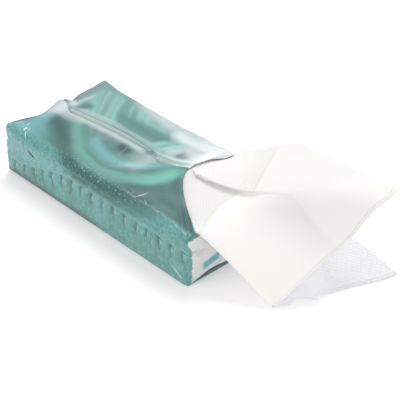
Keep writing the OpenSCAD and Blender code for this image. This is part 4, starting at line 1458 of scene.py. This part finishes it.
    def fold_at(self, u: float) -> float:
        """Share of the length where the fold across the tissue lies in a column of the upper leaf."""
        if u >= 0.5:
            return lerp(0.694, 0.657, (u - 0.5) / 0.5)
        return along(u, [(0.0, 0.617), (0.1, 0.603), (0.2, 0.591), (0.3, 0.59), (0.4, 0.606), (0.5, 0.62)])

    def embossed(self, t: float, u: float) -> float:
        """How strongly the dots show on the upper leaf, which carries them up to the fold across it."""
        return 1 - ramp((t - self.fold_at(u) + 0.006) / 0.01)

    def lower_point(self, start: Vector, far: Vector, v: float, t: float) -> Vector:
        """Place on the lower leaf, as for the upper one."""
        p = self.pack
        out = ramp((start.x - p.half_l) / self.reach)
        s = v ** lerp(1.0, 0.8, out)
        z = lerp(start.z, far.z, s)
        x = lerp(start.x, far.x, v)
        y = lerp(start.y, far.y, v)
        lift = out * 0.9 * bump(v - 0.3, 0.13) * ramp((t - 0.85) / 0.15)
        edge = ramp((t - 0.95) / 0.05)
        x += edge * (2.6 * bump(v - 0.28, 0.05) - 2.2 * bump(v - 0.19, 0.045) + 1.0 * bump(v - 0.85, 0.15))
        return Vector((x - self.tip_round(v, t), y, z + lift))

    def row(self, t: float) -> list[Vector]:
        """One row of the sheet, from the lower leaf's far edge round the fold to the upper one's."""
        p = self.pack
        fold = course(self.fold_course, t)
        fold.z = min(fold.z, self.tail_low + self.fold_r)
        upper = course(self.upper_course, t)
        lower = course(self.lower_course, t)
        opened = ramp((fold.x - p.half_l + 6) / 14)
        rise_u = math.atan2(upper.z - fold.z - self.fold_r, upper.y - fold.y) * opened
        rise_l = math.atan2(lower.z - fold.z + self.fold_r, lower.y - fold.y) * opened
        start, end = rise_l - math.pi / 2, rise_u - 1.5 * math.pi
        bend = []
        for n in range(self.bend_points + 1):
            angle = lerp(start, end, n / self.bend_points)
            bend.append(fold + Vector((0.0, math.cos(angle), math.sin(angle))) * self.fold_r)
        under = [self.lower_point(bend[0], lower, n / self.lower_points, t)
                 for n in range(self.lower_points, 0, -1)]
        over = [self.upper_point(bend[-1], upper, n / self.upper_points, t)
                for n in range(1, self.upper_points + 1)]
        drawn_back = Vector((self.tip_round(0.0, t), 0.0, 0.0))
        return under + [point - drawn_back for point in bend] + over

    def painted(self, here: Vector, t: float, number: int) -> dict[str, float]:
        """The values that the finish reads at a point.

        Args:
            here: the point's place.
            t: its row's share of the length.
            number: its number in the row.

        Returns:
            How strongly dots, cool paper, the fold across, lines along the free edge and painted shade show.
        """
        from_edge = (1 - t) * self.row_span
        line = max(0.8 * bump(from_edge - 1.3, 0.28), 0.5 * bump(from_edge, 0.3))
        if number < self.lower_points:
            return {"dots": ramp((here.y - 4) / 12), "cool": 1.0, "fold": 0.0, "line": line, "dim": 0.0}
        u = max(0.0, (number - self.lower_points - self.bend_points) / self.upper_points)
        embossed = self.embossed(t, u)
        # Painted shade where the near lobe lies under the lap, in the hollow and along the tuck
        lap_shade = ramp((0.5 - u) / 0.04) * ramp(u * 10)
        hollow = 1.7 * bump(u - 0.43, 0.13) * bump(t - 0.89, 0.1)
        tuck_shade = 0.9 * bump(u - 0.41, 0.05) * bump(t - 0.68, 0.06)
        dim = 0.8 * lap_shade * embossed + 0.4 * (hollow + tuck_shade)
        return {"dots": 0.8 * embossed, "cool": 0.0, "fold": self.cross_fold(t, u), "line": line, "dim": dim}

    def build(self) -> bpy.types.Object:
        """Makes the sheet's mesh.

        Returns:
            The object, with its own flat coordinates and painted values.
        """
        mesh = bmesh.new()
        across = self.lower_points + self.bend_points + self.upper_points
        bmesh.ops.create_grid(mesh, x_segments=self.rows, y_segments=across, size=1.0)
        uv = mesh.loops.layers.uv.new("flat")
        layers = {key: mesh.verts.layers.float.new(key) for key in self.finish.painted}
        rows = [self.row(self.row_share(n)) for n in range(self.rows + 1)]
        middle = self.lower_points + self.bend_points / 2
        flat: dict[bmesh.types.BMVert, tuple[float, float]] = {}
        for vert in mesh.verts:
            row = round((vert.co.x + 1) / 2 * self.rows)
            number = round((vert.co.y + 1) / 2 * across)
            t = self.row_share(row)
            vert.co = rows[row][number]
            flat[vert] = (t * self.row_span / UV_MM, (number - middle) * self.column_step / UV_MM)
            for key, value in self.painted(vert.co, t, number).items():
                vert[layers[key]] = value
        for face in mesh.faces:
            for loop in face.loops:
                loop[uv].uv = flat[loop.vert]
        bmesh.ops.recalc_face_normals(mesh, faces=mesh.faces)
        mesh.normal_update()
        for vert in mesh.verts:
            vert.co += vert.normal * self.thickness / 2
        thicken(mesh, self.thickness)
        bmesh.ops.transform(mesh, matrix=SCALE_TO_METRES, verts=mesh.verts)
        return as_object(mesh, "tissue_sheet", self.finish.build())


@dataclass
class FoldedStack:
    """The folded tissues left in the pack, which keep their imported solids."""

    finish: StackFinish = field(default_factory=StackFinish)

    def dress(self) -> list[str]:
        """Gives every folded tissue its paper and returns their names."""
        material = self.finish.build()
        names = sorted(
            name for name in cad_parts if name.startswith("tissue_") and name != "tissue_drawn")
        for name in names:
            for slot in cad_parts[name].material_slots:
                slot.material = material
        return names


@dataclass(frozen=True)
class Lamp:
    """A square lamp: its direction from the aim in degrees, its distance and side in metres, its watts."""

    name: str
    azimuth: float
    elevation: float
    away: float
    size: float
    power: float


LAMPS = (
    Lamp("back_lamp", 215, 56, 0.9, 0.5, 3.3),
    Lamp("left_lamp", -30, 50, 1.0, 0.3, 0.6),
    Lamp("front_lamp", 70, 35, 1.4, 1.0, 0.6),
)


@dataclass
class Studio:
    """The floor, the lamps and the camera.

    Lengths are in metres and angles in degrees, and the lens and its sensor are in millimetres.
    """

    azimuth: float = 46.90
    elevation: float = 34.83
    distance: float = 0.611
    lens: float = 141.36
    sensor: float = 36.0
    aim: Point = (0.03149, 0.00163, 0.0150)
    floor_size: float = 6.0
    floor_colour: Colour = (0.9, 0.876, 0.874)
    floor_glow: float = 0.24
    ambient: float = 0.72
    mirrored: float = 0.45

    def _facing(self, azimuth: float, elevation: float) -> Vector:
        """Direction from the aim towards a place at these angles, in degrees."""
        a, e = math.radians(azimuth), math.radians(elevation)
        return Vector((math.sin(a) * math.cos(e), -math.cos(a) * math.cos(e), math.sin(e)))

    def camera(self) -> None:
        """Places the camera at the photograph's viewing angle."""
        data = bpy.data.cameras.new("camera")
        data.lens = self.lens
        data.sensor_width = self.sensor
        data.clip_start, data.clip_end = 0.01, 50.0
        camera = bpy.data.objects.new("camera", data)
        bpy.context.collection.objects.link(camera)
        back = self._facing(self.azimuth, self.elevation)
        camera.location = Vector(self.aim) + back * self.distance
        camera.rotation_euler = (-back).to_track_quat("-Z", "Y").to_euler()
        bpy.context.scene.camera = camera

    def lamp(self, plan: Lamp) -> None:
        """Adds one square lamp that faces the aim."""
        data = bpy.data.lights.new(plan.name, "AREA")
        data.shape, data.size, data.energy = "SQUARE", plan.size, plan.power
        lamp = bpy.data.objects.new(plan.name, data)
        bpy.context.collection.objects.link(lamp)
        towards = self._facing(plan.azimuth, plan.elevation)
        lamp.location = Vector(self.aim) + towards * plan.away
        lamp.rotation_euler = (-towards).to_track_quat("-Z", "Y").to_euler()

    def world(self) -> None:
        """Lights everything evenly, white to the camera and dimmer to mirrored rays."""
        world = bpy.data.worlds.new("world")
        bpy.context.scene.world = world
        bench = Bench(world, "Background")
        path = bench.node("ShaderNodeLightPath")
        seen = Value(bench, path.outputs["Is Camera Ray"])
        glossy = Value(bench, path.outputs["Is Glossy Ray"])
        mirrored = glossy.most(Value(bench, path.outputs["Is Transmission Ray"]))
        strength = self.ambient + seen * (1 - self.ambient) + mirrored * (self.mirrored - self.ambient)
        bench.finish({"Color": (1.0, 1.0, 1.0), "Strength": strength})

    def floor(self) -> None:
        """Adds the pale floor, which keeps the object's soft shadow."""
        mesh = bmesh.new()
        bmesh.ops.create_grid(mesh, x_segments=1, y_segments=1, size=self.floor_size / 2)
        bench = Bench.for_material("floor")
        material = bench.finish({
            "Base Color": self.floor_colour,
            "Roughness": 1.0,
            "Specular IOR Level": 0.0,
            "Emission Color": (1.0, 1.0, 1.0),
            "Emission Strength": self.floor_glow,
        })
        floor = as_object(mesh, "floor", material)

    def build(self) -> None:
        """Sets the whole stage."""
        self.camera()
        self.world()
        self.floor()
        for plan in LAMPS:
            self.lamp(plan)
        bpy.context.scene.view_settings.view_transform = "Standard"


def main() -> None:
    """Builds the pieces in order and says what each one is."""
    logging.basicConfig(level=logging.INFO, format="%(message)s")
    Studio().build()
    pack = PackSizes.from_frame()
    LOG.info("pack: half length %.2f, half width %.2f, top %.2f mm", pack.half_l, pack.half_w, pack.top_z)
    film = FilmWrap(pack).build()
    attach(film, "root")
    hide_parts("film_wrap")
    LOG.info("film wrap: %d faces", len(film.data.polygons))
    drawn = DrawnTissue(pack)
    sheet = drawn.build()
    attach(sheet, "root")
    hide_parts("tissue_drawn")
    LOG.info("drawn tissue: %d faces", len(sheet.data.polygons))
    LOG.info("folded tissues: %s", ", ".join(FoldedStack().dress()))


if __name__ == "__main__":
    main()
